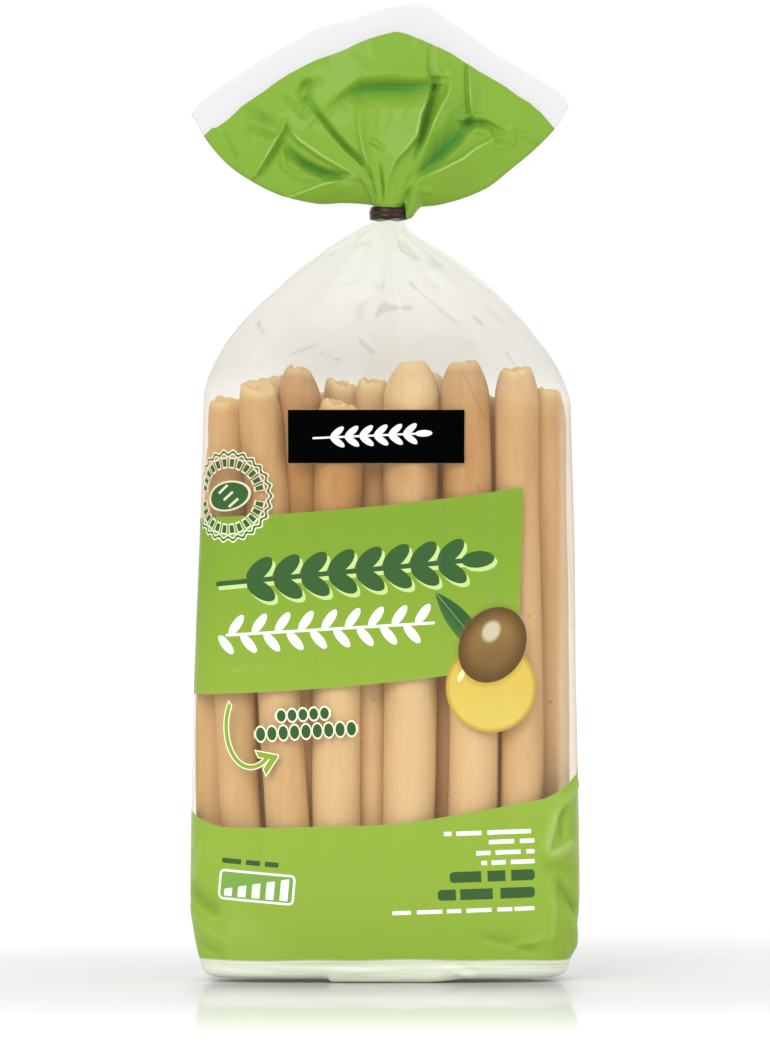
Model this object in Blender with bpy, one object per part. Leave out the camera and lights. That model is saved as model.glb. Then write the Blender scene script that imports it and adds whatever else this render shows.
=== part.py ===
"""A clear film bag of grissini breadsticks, standing on its folded base.

The bag is one tube of film. Upright breadsticks hold its body out as a rounded block. Above them the
film narrows over two shoulders to a gathered neck, which a wound tape closes. Above the tape the film
opens again into a flattened, pleated fan, whose top edge is the cut end of the tube.

The film and what it holds are one closed solid; the tape is the other.

Frame: metres, +Z up, the printed front faces -Y, and the origin is the middle of the base.
"""

import math

import bpy
import numpy as np

# Loft: columns round the bag, a multiple of four, so that its sides and its middles fall on one.
COLUMNS = 120
SECTION_SAMPLES = 4000

# Body: the block of upright breadsticks inside the film.
BODY_WIDTH = 0.1156
BODY_DEPTH = 0.0570
BODY_WIDEST_Z = 0.028
BODY_CORNER_POWER = 5.0
BASE_TAPER = 0.0048
BASE_TAPER_POWER = 2.2
BASE_ROUND = 0.0024
BASE_ROWS = 3
TAPER_ROWS = 3
UPPER_TAPER = 0.0033
UPPER_TAPER_POWER = 1.3
BODY_ROWS = 5

# Shoulders: from the tops of the breadsticks up to the gathered neck. They pinch in a little close
# under it, and lean a little to -X there.
SHOULDER_Z = 0.171
SHOULDER_WIDTH_POWER = 1.7
SHOULDER_DEPTH_POWER = 1.5
SHOULDER_CORNER_POWER = 1.5
SHOULDER_PINCH = 0.5
SHOULDER_PINCH_POWER = 8
SHOULDER_LEAN = 0.0028
SHOULDER_LEAN_POWER = 6
SHOULDER_ROWS = 9

# Neck: the gathered film inside the tape.
NECK_BOTTOM_Z = 0.2255
NECK_TOP_Z = 0.2302
NECK_RADIUS = 0.0053
NECK_X = 0.0015
NECK_SHIFT_POWER = 16

# Pleats that run down from the neck: (waves round the bag, phase in radians, share of the depth).
PLEAT_DEPTH = 0.085
PLEAT_END = 0.9
PLEATS = ((9, 0.8, 0.6), (17, 2.1, 0.4))

# Breadsticks that press on the film in front: (x at the base, x at the top, diameter).
FRONT_STICKS = (
    (-0.0520, -0.0480, 0.0130),
    (-0.0437, -0.0358, 0.0128),
    (-0.0311, -0.0270, 0.0124),
    (-0.0146, -0.0139, 0.0146),
    (0.0077, 0.0080, 0.0153),
    (0.0262, 0.0244, 0.0146),
    (0.0411, 0.0393, 0.0136),
    (0.0505, 0.0500, 0.0120),
)
STICK_TOP_Z = 0.178
STICK_DIP = 0.0009
DIP_START = (0.004, 0.016)
DIP_END = (0.156, 0.178)
DIP_SIDE_MARGIN = (0.014, 0.006)

# Back seam: the film's two long edges, sealed together and laid flat down the back.
SEAM_WIDTH = 0.011
SEAM_HEIGHT = 0.0008
SEAM_EDGE = 0.001
SEAM_START = 0.006

# Fan: polar round the top of the neck, with angles in degrees from +Z, positive towards +X.
# An edge is (angle at the neck, how far it closes, power of that). The two top slopes stand
# FAN_SLOPE_REACH from the neck, square to the lines at FAN_SLOPE_ANGLE on each side of the peak.
FAN_LEFT_EDGE = (92.0, 28.0, 2.0)
FAN_RIGHT_EDGE = (96.0, 35.0, 0.9)
FAN_SLOPE_REACH = 0.0556
FAN_SLOPE_ANGLE = 30.0
FAN_SLOPE_BOW = 0.9
FAN_PEAK_ANGLE = 3.0
FAN_PEAK_SOFTNESS = 6.0
FAN_CORNER_START = 0.9
FAN_CORNER_ROUND = 0.03
FAN_ROWS = 15
FAN_ROW_POWER = 1.15
FAN_OPEN_SHARE = 0.24

# Half of the fan's thickness along its middle: at the neck, at its deepest, and at the top edge.
FAN_HALF_DEPTHS = (0.0053, 0.0062, 0.0013)
FAN_DEEPEST_SHARE = 0.28

# Fan folds from left to right: (angle at the neck, angle at the top edge, height to the front,
# first reach, last reach). Between one fold and the next the film is a flat facet.
FAN_FOLDS = (
    (-79.0, -62.0, 0.0055, 0.004, 0.075),
    (-66.0, -55.0, -0.0045, 0.008, 0.044),
    (-52.0, -46.0, 0.0045, 0.010, 0.060),
    (-24.0, -44.0, -0.0060, 0.003, 0.046),
    (-16.0, -28.0, 0.0035, 0.003, 0.052),
    (-6.0, -8.0, -0.0030, 0.002, 0.020),
    (2.0, 4.0, 0.0020, 0.002, 0.030),
    (19.0, 16.0, 0.0050, 0.004, 0.058),
    (25.0, 19.0, -0.0050, 0.006, 0.064),
    (33.0, 26.0, 0.0055, 0.005, 0.060),
    (50.0, 42.0, -0.0075, 0.005, 0.046),
    (73.0, 54.0, 0.0055, 0.004, 0.075),
)
FOLD_FADE = 0.016
FOLD_ROUNDING = 2.0

# Tape round the neck, wound a little more than once, so that its end makes a step.
TAPE_HEIGHT = 0.0040
TAPE_GAP = 0.0004
TAPE_THICKNESS = 0.0006
TAPE_STEP = 0.0003
TAPE_END_ANGLE = 55.0
TAPE_EDGE_ROUND = 0.0001
TAPE_POINTS = 36

# Finishes: (base colour, roughness).
FILM_FINISH = ((0.33, 0.51, 0.07), 0.35)
TAPE_FINISH = ((0.045, 0.022, 0.016), 0.3)
SMOOTH_BELOW = math.radians(50)


def ramp(low, high, value):
    """0 below low, 1 above high, and a smooth S between them."""
    share = np.clip((value - low) / (high - low), 0.0, 1.0)
    return share * share * (3.0 - 2.0 * share)


def shoulder_climb(z):
    """0 up to the tops of the breadsticks, 1 at the foot of the neck."""
    return min(1.0, max(0.0, z - SHOULDER_Z) / (NECK_BOTTOM_Z - SHOULDER_Z))


def base_inset(z):
    """How far the outline stands in from its widest, near the base."""
    taper = BASE_TAPER * max(0.0, 1.0 - z / BODY_WIDEST_Z) ** BASE_TAPER_POWER
    under = max(0.0, 1.0 - z / BASE_ROUND)
    return taper + BASE_ROUND * (1.0 - math.sqrt(1.0 - under * under))


def body_sizes(z):
    """(half width, half depth, corner power) of the bag's section at height z."""
    rise = min(1.0, max(0.0, z - BODY_WIDEST_Z) / (SHOULDER_Z - BODY_WIDEST_Z))
    narrowing = UPPER_TAPER * rise**UPPER_TAPER_POWER
    half_width = BODY_WIDTH / 2 - base_inset(z) - narrowing
    half_depth = BODY_DEPTH / 2 - base_inset(z) - narrowing / 2
    climb = shoulder_climb(z)
    open_width = 1.0 - climb**SHOULDER_WIDTH_POWER
    open_width *= 1.0 - SHOULDER_PINCH * climb**SHOULDER_PINCH_POWER
    half_width = NECK_RADIUS + (half_width - NECK_RADIUS) * open_width
    half_depth += (NECK_RADIUS - half_depth) * climb**SHOULDER_DEPTH_POWER
    power = 2.0 + (BODY_CORNER_POWER - 2.0) * (1.0 - climb) ** SHOULDER_CORNER_POWER
    return half_width, half_depth, power


def section(half_width, half_depth, power):
    """COLUMNS points evenly along a rounded outline, from the back centre round by the left side."""
    turn = np.linspace(0.0, 2.0 * math.pi, SECTION_SAMPLES)
    sine, cosine = np.sin(turn), np.cos(turn)
    x = -half_width * np.sign(sine) * np.abs(sine) ** (2.0 / power)
    y = half_depth * np.sign(cosine) * np.abs(cosine) ** (2.0 / power)
    run = np.concatenate([[0.0], np.cumsum(np.hypot(np.diff(x), np.diff(y)))])
    stops = run[-1] * np.arange(COLUMNS) / COLUMNS
    return np.interp(stops, run, x), np.interp(stops, run, y)


def stick_dip(x, z, half_width):
    """How far the film sinks between the breadsticks behind it, on the flat of the front and back."""
    roundness = np.zeros_like(x)
    for x_base, x_top, diameter in FRONT_STICKS:
        centre = x_base + (x_top - x_base) * z / STICK_TOP_Z
        across = (x - centre) / (diameter / 2)
        roundness = np.maximum(roundness, np.sqrt(np.clip(1.0 - across * across, 0.0, 1.0)))
    outer, inner = DIP_SIDE_MARGIN
    flat = 1.0 - ramp(half_width - outer, half_width - inner, np.abs(x))
    return STICK_DIP * (1.0 - roundness) * flat * ramp(*DIP_START, z) * (1.0 - ramp(*DIP_END, z))


def body_ring(z):
    """One level section of the body, the shoulders or the foot of the neck."""
    half_width, half_depth, power = body_sizes(z)
    x, y = section(half_width, half_depth, power)
    climb = shoulder_climb(z)
    at_neck = climb**NECK_SHIFT_POWER
    centre_x = NECK_X * at_neck - SHOULDER_LEAN * climb**SHOULDER_LEAN_POWER * (1.0 - at_neck)
    turn = 2.0 * math.pi * np.arange(COLUMNS) / COLUMNS
    wave = sum(share * np.cos(count * turn + phase) for count, phase, share in PLEATS)
    swell = 1.0 + PLEAT_DEPTH * wave * climb * climb * (1.0 - ramp(PLEAT_END, 1.0, climb))
    y = y - np.sign(y) * stick_dip(x, z, half_width)
    on_seam = 1.0 - ramp(SEAM_WIDTH / 2 - SEAM_EDGE, SEAM_WIDTH / 2 + SEAM_EDGE, np.abs(x))
    y = y + (y > 0) * on_seam * SEAM_HEIGHT * ramp(0.0, SEAM_START, z) * (1.0 - climb)
    return np.column_stack([centre_x + x * swell, y * swell, np.full(COLUMNS, z)])


def body_heights():
    """Heights of the level sections, from the flat base to the foot of the neck."""
    base = [BASE_ROUND * (1.0 - math.cos(math.pi / 2 * row / BASE_ROWS)) for row in range(BASE_ROWS + 1)]
    taper = np.linspace(BASE_ROUND, BODY_WIDEST_Z, TAPER_ROWS + 1)[1:]
    block = np.linspace(BODY_WIDEST_Z, SHOULDER_Z, BODY_ROWS + 1)[1:]
    shoulders = np.linspace(SHOULDER_Z, NECK_BOTTOM_Z, SHOULDER_ROWS + 1)[1:]
    return [*base, *taper, *block, *shoulders]


def fan_edge_angle(side, share):
    """Angle of the fan's left (-1) or right (+1) edge from +Z, at a share of its reach."""
    start, closing, power = FAN_LEFT_EDGE if side < 0 else FAN_RIGHT_EDGE
    return start - closing * share**power


def fan_angle(across, share):
    """Angle at a place across the fan, from -1 at its left edge to 1 at its right edge."""
    return across * np.where(across < 0.0, fan_edge_angle(-1, share), fan_edge_angle(1, share))


def fan_reach(across):
    """Distance from the neck to the fan's top edge: two bowed slopes that meet in a soft peak."""
    lean = np.hypot(fan_angle(across, 1.0) - FAN_PEAK_ANGLE, FAN_PEAK_SOFTNESS)
    slope = FAN_SLOPE_REACH / np.cos(np.radians(FAN_SLOPE_BOW * (lean - FAN_SLOPE_ANGLE)))
    return slope * (1.0 - FAN_CORNER_ROUND * ramp(FAN_CORNER_START, 1.0, np.abs(across)) ** 2)


def fan_half_depth(share):
    """Half the distance between the fan's front and its back, along its middle."""
    neck, deepest, edge = FAN_HALF_DEPTHS
    rising = neck + (deepest - neck) * ramp(0.0, FAN_DEEPEST_SHARE, share)
    return rising + (edge - deepest) * ramp(FAN_DEEPEST_SHARE, 1.0, share)


def fold_profile(angle, share, reach):
    """Height of the zigzag of folds at one angle: straight between one fold line and the next."""
    lines = [-fan_edge_angle(-1, share)]
    heights = [0.0]
    for neck_angle, edge_angle, rise, first, last in FAN_FOLDS:
        begun = ramp(first - FOLD_FADE, first + FOLD_FADE, reach)
        ended = ramp(last - FOLD_FADE, last + FOLD_FADE, reach)
        lines.append(neck_angle + (edge_angle - neck_angle) * share)
        heights.append(rise * begun * (1.0 - ended))
    lines.append(fan_edge_angle(1, share))
    heights.append(0.0)
    return np.interp(angle, lines, heights)


def fan_fold_height(angles, share, reaches):
    """How far the folds carry the film to the front, with their creases a little rounded."""
    height = np.zeros_like(angles)
    for column, (angle, reach) in enumerate(zip(angles, reaches)):
        near = [angle - FOLD_ROUNDING, angle, angle + FOLD_ROUNDING]
        height[column] = sum(fold_profile(beside, share, reach) for beside in near) / len(near)
    return height


def fan_ring(row):
    """One ring of the fan: from the round neck (row 0) to the top edge (row FAN_ROWS)."""
    start = NECK_RADIUS / FAN_SLOPE_REACH
    share = start + (1.0 - start) * (row / FAN_ROWS) ** FAN_ROW_POWER
    quarter = 4.0 * np.arange(COLUMNS) / COLUMNS
    across = np.abs((quarter + 1.0) % 4.0 - 2.0) - 1.0
    in_front = (quarter >= 1.0) & (quarter <= 3.0)
    angle = fan_angle(across, share)
    reach = share * fan_reach(across)
    half = fan_half_depth(share) * np.sqrt(1.0 - across * across)
    y = np.where(in_front, -half, half) - fan_fold_height(angle, share, reach)
    lean = np.radians(angle)
    fan = np.column_stack([reach * np.sin(lean), y, reach * np.cos(lean)])
    turn = quarter * math.pi / 2
    neck = NECK_RADIUS * np.column_stack([-np.sin(turn), np.cos(turn), np.zeros(COLUMNS)])
    opened = ramp(start, FAN_OPEN_SHARE, share)
    return neck * (1.0 - opened) + fan * opened + [NECK_X, 0.0, NECK_TOP_Z]


def wall_faces(ring_count):
    """Quads between each ring and the next one up, facing out."""
    faces = []
    for row in range(ring_count - 1):
        low, high = row * COLUMNS, (row + 1) * COLUMNS
        for column in range(COLUMNS):
            following = (column + 1) % COLUMNS
            faces.append((low + column, low + following, high + following, high + column))
    return faces


def closing_faces(first, upward):
    """A strip that joins the front half of a ring to its back half, across the bag."""
    faces = []
    for column in range(COLUMNS // 4, 3 * COLUMNS // 4):
        behind = (COLUMNS // 2 - column) % COLUMNS
        behind_following = (COLUMNS // 2 - column - 1) % COLUMNS
        corners = dict.fromkeys([column, column + 1, behind_following, behind])
        face = [first + corner for corner in corners]
        faces.append(face if upward else face[::-1])
    return faces


def make_material(name, finish):
    """A plain Principled finish."""
    colour, roughness = finish
    material = bpy.data.materials.new(name)
    material.use_nodes = True
    shader = material.node_tree.nodes["Principled BSDF"]
    shader.inputs["Base Color"].default_value = (*colour, 1.0)
    shader.inputs["Roughness"].default_value = roughness
    shader.inputs["Metallic"].default_value = 0.0
    return material


def make_bag(collection):
    """The filled bag, as one closed loft from its base to the top edge of its fan."""
    rings = [body_ring(z) for z in body_heights()]
    rings += [fan_ring(row) for row in range(FAN_ROWS + 1)]
    top = (len(rings) - 1) * COLUMNS
    faces = closing_faces(0, upward=False) + wall_faces(len(rings)) + closing_faces(top, upward=True)
    mesh = bpy.data.meshes.new("film_bag")
    mesh.from_pydata(np.concatenate(rings).tolist(), [], faces)
    mesh.shade_smooth()
    mesh.set_sharp_from_angle(angle=SMOOTH_BELOW)
    mesh.materials.append(make_material("printed_clear_film", FILM_FINISH))
    collection.objects.link(bpy.data.objects.new("film_bag", mesh))


def add_loop(curve, radii):
    """A closed flat loop round the origin, with its points at even turns and the given radii."""
    spline = curve.splines.new("POLY")
    spline.points.add(len(radii) - 1)
    for step, (point, radius) in enumerate(zip(spline.points, radii)):
        turn = 2.0 * math.pi * step / len(radii)
        point.co = (radius * math.cos(turn), radius * math.sin(turn), 0.0, 1.0)
    spline.use_cyclic_u = True


def make_tape(collection):
    """The tape that closes the neck: a band whose outer wall steps down where the tape ends."""
    inner = NECK_RADIUS + TAPE_GAP
    curve = bpy.data.curves.new("neck_tape", "CURVE")
    curve.dimensions = "2D"
    curve.fill_mode = "BOTH"
    curve.extrude = TAPE_HEIGHT / 2 - TAPE_EDGE_ROUND
    curve.bevel_depth = TAPE_EDGE_ROUND
    curve.bevel_resolution = 1
    curve.offset = -TAPE_EDGE_ROUND
    add_loop(curve, [inner + TAPE_THICKNESS + TAPE_STEP * step / TAPE_POINTS for step in range(TAPE_POINTS)])
    add_loop(curve, [inner] * TAPE_POINTS)
    curve.materials.append(make_material("brown_tape", TAPE_FINISH))
    tape = bpy.data.objects.new("neck_tape", curve)
    tape.location = (NECK_X, 0.0, (NECK_BOTTOM_Z + NECK_TOP_Z) / 2)
    tape.rotation_euler = (0.0, 0.0, math.radians(TAPE_END_ANGLE))
    collection.objects.link(tape)


def main():
    for leftover in list(bpy.data.objects):
        bpy.data.objects.remove(leftover)
    collection = bpy.data.collections.new("breadstick_bag")
    bpy.context.scene.collection.children.link(collection)
    make_bag(collection)
    make_tape(collection)


main()
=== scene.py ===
"""A clear film bag of grissini breadsticks: about thirty thick sticks stand upright in printed film,
whose top is gathered into a neck, closed with brown tape, and opens above it into a pleated fan.

Metres, +Z up. The printed front faces -Y, and the bag stands on its folded base.
"""

import math

import bpy
import numpy as np
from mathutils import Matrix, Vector


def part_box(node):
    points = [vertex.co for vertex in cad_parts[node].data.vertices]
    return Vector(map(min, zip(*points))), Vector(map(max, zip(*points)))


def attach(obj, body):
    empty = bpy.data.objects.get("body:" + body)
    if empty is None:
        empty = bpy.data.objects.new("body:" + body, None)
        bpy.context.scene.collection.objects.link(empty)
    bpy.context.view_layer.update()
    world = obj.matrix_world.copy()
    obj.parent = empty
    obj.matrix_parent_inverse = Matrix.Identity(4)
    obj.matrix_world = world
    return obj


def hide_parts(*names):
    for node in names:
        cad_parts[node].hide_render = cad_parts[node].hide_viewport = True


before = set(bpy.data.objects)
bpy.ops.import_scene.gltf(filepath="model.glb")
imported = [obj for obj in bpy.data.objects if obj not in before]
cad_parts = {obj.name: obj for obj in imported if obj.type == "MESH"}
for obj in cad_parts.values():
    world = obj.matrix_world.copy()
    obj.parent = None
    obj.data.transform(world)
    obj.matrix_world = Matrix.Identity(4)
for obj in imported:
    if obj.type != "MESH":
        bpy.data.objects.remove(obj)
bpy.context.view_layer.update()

# ---------------------------------------------------------------------------------------------------
# Breadsticks. Ropes of plain dough, rolled by hand, cut to length and baked dry: straw gold and matt,
# a little wavy, with cut or torn heads. Eleven show through the front film; the rest nest behind.
# A Geometry Nodes tree rolls each one out of a sheet of skin, by the sizes stored on its point.

BAG_LOW, BAG_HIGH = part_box("film_bag")
HALF_WIDTH = (BAG_HIGH.x - BAG_LOW.x) / 2
HALF_DEPTH = (BAG_HIGH.y - BAG_LOW.y) / 2
FOOT_Z = 0.0022
# Clear space between a stick and the film at its foot, and the extra at its head; between any two
# sticks; and round each stick behind the front ones.
FILM_GAP = 0.0006
HEAD_GAP = 0.0008
STICK_GAP = 0.0002
BACK_GAP = 0.0005
# How much narrower and shallower the block of sticks is at the heads, and at the very feet, where it
# is pressed together and each stick gives a little.
HEADS_INSET = (0.0033, 0.0020)
FEET_INSET = (0.0048, 0.0044)
PRESSED_SHARE = 0.93
BLOCK_POWER = 5.0

# Front sticks: x at the foot and at the head, diameter, head height, then the head's share of the
# width, the length of its taper, the depth of its tear, its fall to the right and to the front, and
# how dark the stick is at the foot and at the head, partly its bake and partly painted shade,
# mostly on the upper parts and on sticks that stand back.
FRONT_STICKS = (
    (-0.0507, -0.0466, 0.0120, 0.1650, 0.80, 0.010, 0.0010, 0.00, 0.00, 0.48, 0.40),
    (-0.0418, -0.0467, 0.0121, 0.1718, 0.86, 0.008, 0.0008, -0.03, 0.06, 0.47, 0.43),
    (-0.0274, -0.0373, 0.0129, 0.1762, 0.80, 0.012, 0.0010, -0.10, 0.40, 0.28, 0.61),
    (-0.0240, -0.0256, 0.0130, 0.1815, 0.50, 0.009, 0.0022, -0.22, 0.00, 0.50, 1.00),
    (-0.0150, -0.0132, 0.0142, 0.1712, 0.70, 0.007, 0.0026, -0.34, 0.10, 0.09, 0.45),
    (0.0083, 0.0080, 0.0167, 0.1832, 0.44, 0.010, 0.0014, 0.10, 0.00, 0.00, 0.21),
    (0.0279, 0.0233, 0.0145, 0.1832, 0.54, 0.010, 0.0014, 0.06, 0.05, 0.05, 0.72),
    (0.0445, 0.0385, 0.0130, 0.1813, 0.66, 0.009, 0.0018, 0.05, 0.10, 0.32, 0.50),
    (0.0476, 0.0470, 0.0122, 0.1752, 0.70, 0.007, 0.0018, -0.20, 0.00, 0.05, 0.40),
    (-0.0039, -0.0034, 0.0106, 0.1777, 0.76, 0.005, 0.0026, -0.15, 0.10, 0.00, 0.35),
    (-0.0124, -0.0120, 0.0124, 0.1772, 0.86, 0.004, 0.0028, -0.25, 0.10, 0.30, 0.40),
)
# Front sticks that stand back from the film: number, then y at the foot and at the head.
SET_BACK = {
    0: (-0.0116, -0.0112), 1: (-0.0216, -0.0165), 3: (-0.0105, -0.0130), 8: (-0.0104, -0.0100),
    9: (-0.0150, -0.0105), 10: (-0.0020, -0.0030),
}
# Foot of a stick as a share of its diameter, where it is much more slender than the head.
SLENDER_FEET = {5: 0.89, 7: 0.93}
# Sideways bow of a stick, where it is more than a little.
BOWS = {0: -0.0007, 1: -0.0001, 2: 0.0005, 5: -0.0004, 6: 0.0002}
# Rows behind them: y, the lowest and the highest head, and the x of each stick.
BACK_ROWS = (
    (-0.0085, 0.165, 0.173, (-0.0370, 0.0170, 0.0335)),
    (0.0050, 0.168, 0.176, (-0.0500, -0.0365, -0.0225, -0.0085, 0.0055, 0.0195, 0.0345, 0.0505)),
    (0.0190, 0.168, 0.180, (-0.0510, -0.0370, -0.0230, -0.0090, 0.0060, 0.0200, 0.0340, 0.0490)),
)
HEADS_INWARD = 0.94


class Wire:
    """A socket in a node tree. Operators on it add Math nodes; node adds a node of any other type."""

    def __init__(self, tree, socket=None):
        self.tree = tree
        self.socket = socket

    def node(self, kind, settings=None, sockets=None, output=0):
        """Add a node: its settings first, then the links or values of its sockets."""
        made = self.tree.nodes.new(kind)
        for name, value in (settings or {}).items():
            setattr(made, name, value)
        for name, value in (sockets or {}).items():
            if isinstance(value, Wire):
                self.tree.links.new(value.socket, made.inputs[name])
            else:
                made.inputs[name].default_value = value
        return Wire(self.tree, made.outputs[output] if made.outputs else None)

    def out(self, name):
        """Another output of the same node."""
        return Wire(self.tree, self.socket.node.outputs[name])

    def math(self, operation, *values, clamp=False):
        """One Math node on values or wires."""
        settings = {"operation": operation, "use_clamp": clamp}
        return self.node("ShaderNodeMath", settings, dict(enumerate(values)))

    def __add__(self, other):
        return self.math("ADD", self, other)

    def __sub__(self, other):
        return self.math("SUBTRACT", self, other)

    def __rsub__(self, other):
        return self.math("SUBTRACT", other, self)

    def __mul__(self, other):
        return self.math("MULTIPLY", self, other)

    def __truediv__(self, other):
        return self.math("DIVIDE", self, other)

    def __pow__(self, other):
        return self.math("POWER", self, other)

    def __abs__(self):
        return self.math("ABSOLUTE", self)

    def __neg__(self):
        return self.math("MULTIPLY", self, -1.0)

    __radd__ = __add__
    __rmul__ = __mul__

    def least(self, other):
        return self.math("MINIMUM", self, other)

    def most(self, other):
        return self.math("MAXIMUM", self, other)

    def sine(self):
        return self.math("SINE", self)

    def cosine(self):
        return self.math("COSINE", self)

    def clamped(self):
        return self.math("ADD", self, 0.0, clamp=True)

    def ramped(self, low, high):
        """0 at low, 1 at high, and a smooth S between them."""
        sockets = {"Value": self, "From Min": low, "From Max": high}
        return self.node("ShaderNodeMapRange", {"interpolation_type": "SMOOTHSTEP"}, sockets)

    def faded(self, low, high):
        """1 at low, 0 at high, and a smooth S between them."""
        return 1.0 - self.ramped(low, high)

    def within(self, reach):
        """1 at nothing, falling straight to 0 at reach."""
        return (1.0 - self / reach).clamped()

    def vector(self, x, y, z):
        return self.node("ShaderNodeCombineXYZ", None, {0: x, 1: y, 2: z})

    def axis(self, letter):
        return self.node("ShaderNodeSeparateXYZ", None, {0: self}, output="XYZ".index(letter))

    def plus(self, other):
        """The sum of two vectors."""
        return self.node("ShaderNodeVectorMath", {"operation": "ADD"}, {0: self, 1: other})

    def times(self, amount):
        """A vector, longer or shorter."""
        return self.node("ShaderNodeVectorMath", {"operation": "SCALE"}, {0: self, "Scale": amount})

    def stretched(self, z_scale):
        """The same place with its height scaled, so that a pattern read there runs up the piece."""
        return self.node("ShaderNodeMapping", None, {"Vector": self, "Scale": (1.0, 1.0, z_scale)})

    def noise(self, scale, detail=2.0, batch=0.0):
        """Smooth noise from 0 to 1 at the place that this wire gives; batch picks another one."""
        sockets = {"Vector": self, "Scale": scale, "Detail": detail, "W": batch * (1.0 / scale)}
        return self.node("ShaderNodeTexNoise", {"noise_dimensions": "4D"}, sockets)

    def place(self):
        """The place on the piece that is shaded, in metres."""
        return self.node("ShaderNodeTexCoord").out("Object")

    def stored(self, name):
        """A number stored on the piece's vertices."""
        return self.node("ShaderNodeAttribute", {"attribute_name": name}).out("Fac")


def settle(places, radii, half_width, half_depth, held):
    """Push circles apart, and inside a rounded outline, until they rest. Held ones keep their x."""
    places = places.copy()
    for _ in range(300):
        apart = places[:, None] - places[None]
        distance = np.hypot(apart[..., 0], apart[..., 1]) + np.eye(len(places))
        overlap = np.clip(radii[:, None] + radii[None] + STICK_GAP - distance, 0.0, None)
        np.fill_diagonal(overlap, 0.0)
        push = 0.3 * (apart * (overlap / distance)[..., None]).sum(axis=1)
        push[held, 0] = 0.0
        places += push
        room = np.column_stack([half_width - radii, half_depth - radii])
        past = (np.abs(places / room) ** BLOCK_POWER).sum(axis=1) ** (1 / BLOCK_POWER)
        past = np.maximum(past, 1.0)
        places[:, 1] /= past
        places[~held, 0] /= past[~held]
    return places


def stick_sizes(rng):
    """One row for each stick: foot x, y; head x, y; diameter, head height and the head's shape."""
    rows = []
    for number, (foot_x, head_x, thick, *head_shape) in enumerate(FRONT_STICKS):
        against_film = thick / 2 + FILM_GAP - HALF_DEPTH
        foot_y, head_y = SET_BACK.get(number, (against_film, against_film + HEAD_GAP))
        rows.append((foot_x, foot_y, head_x, head_y, thick, *head_shape))
    for y, lowest, highest, places in BACK_ROWS:
        for x in places:
            thick, head_z = rng.uniform(0.0124, 0.0143), rng.uniform(lowest, highest)
            head_share, taper = rng.uniform(0.50, 0.85), rng.uniform(0.006, 0.014)
            tear = rng.uniform(0.0003, 0.0020)
            to_right, to_front = rng.uniform(-0.2, 0.2), rng.uniform(-0.1, 0.3)
            lean, baked = rng.normal(0.0, 0.0012), rng.uniform(0.2, 0.7)
            head = (head_z, head_share, taper, tear, to_right, to_front, baked, baked)
            rows.append((x, y, x * HEADS_INWARD + lean, y + 0.001, thick, *head))
    return np.array(rows)


rng = np.random.default_rng(7)
sizes = stick_sizes(rng)
count = len(sizes)
radii = sizes[:, 4] / 2
held = np.arange(count) < len(FRONT_STICKS)
roomy = radii + np.where(held, 0.0, BACK_GAP)
feet = settle(sizes[:, 0:2], roomy, HALF_WIDTH - FILM_GAP, HALF_DEPTH - FILM_GAP, held)
head_room = (HALF_WIDTH - HEADS_INSET[0], HALF_DEPTH - HEADS_INSET[1])
heads = settle(sizes[:, 2:4], roomy, *head_room, held)
free = np.zeros(count, dtype=bool)
foot_room = (HALF_WIDTH - FEET_INSET[0], HALF_DEPTH - FEET_INSET[1])
pressed = settle(feet, radii * PRESSED_SHARE, *foot_room, free)
flat = np.zeros(count)
bows = rng.normal(0, 0.0004, count)
bows[list(BOWS)] = list(BOWS.values())
foot_shares = np.ones(count)
foot_shares[list(SLENDER_FEET)] = list(SLENDER_FEET.values())
STICK_VALUES = {
    "foot": np.column_stack([feet, flat + FOOT_Z]),
    "head": np.column_stack([heads, sizes[:, 5]]),
    "pressed": np.column_stack([pressed - feet, flat]),
    "bow": np.column_stack([bows, np.abs(rng.normal(0, 0.0004, count)) * -np.sign(feet[:, 1]), flat]),
    "radius": radii,
    "head_share": sizes[:, 6],
    "taper": sizes[:, 7],
    "tear": sizes[:, 8],
    "foot_share": foot_shares,
    "slope": np.column_stack([sizes[:, 9], sizes[:, 10], flat]),
    "bake_and_shade_foot": sizes[:, 11],
    "bake_and_shade_head": sizes[:, 12],
    "batch": rng.uniform(0.0, 40.0, count),
}
points = bpy.data.meshes.new("breadsticks")
points.from_pydata([(0.0, 0.0, 0.0)] * count, [], [])
for name, values in STICK_VALUES.items():
    kind, field = ("FLOAT_VECTOR", "vector") if values.ndim == 2 else ("FLOAT", "value")
    stored = points.attributes.new(name, kind, "POINT")
    stored.data.foreach_set(field, values.astype(np.float32).ravel())
breadsticks = bpy.data.objects.new("breadsticks", points)
bpy.context.scene.collection.objects.link(breadsticks)

TREE_SOCKETS = (
    ("Points", "INPUT", "NodeSocketGeometry"),
    ("Columns", "INPUT", "NodeSocketInt"),
    ("Rows", "INPUT", "NodeSocketInt"),
    ("Lumps", "INPUT", "NodeSocketFloat"),
    ("Dimples", "INPUT", "NodeSocketFloat"),
    ("Drift", "INPUT", "NodeSocketFloat"),
    ("Dough", "INPUT", "NodeSocketMaterial"),
    ("Sticks", "OUTPUT", "NodeSocketGeometry"),
)
# Share of the sheet that closes each end; how far down from the head its rim, crumbs, torn edge and
# slanted cut reach; how far its middle is sunk; and how far up the foot's rounded heel reaches.
CAP_SHARE = 0.05
RIM_REACH = 0.0009
CRUMB_REACH = 0.0045
TEAR_REACH = 0.009
SLANT_REACH = 0.012
HEAD_SUNK = 0.0009
HEEL_REACH = 0.0040
tree = bpy.data.node_groups.new("roll_breadsticks", "GeometryNodeTree")
for name, direction, kind in TREE_SOCKETS:
    tree.interface.new_socket(name, in_out=direction, socket_type=kind)
roll = Wire(tree)
given = roll.node("NodeGroupInput")


def stored_value(name, kind="FLOAT"):
    return roll.node("GeometryNodeInputNamedAttribute", {"data_type": kind}, {"Name": name})


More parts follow.
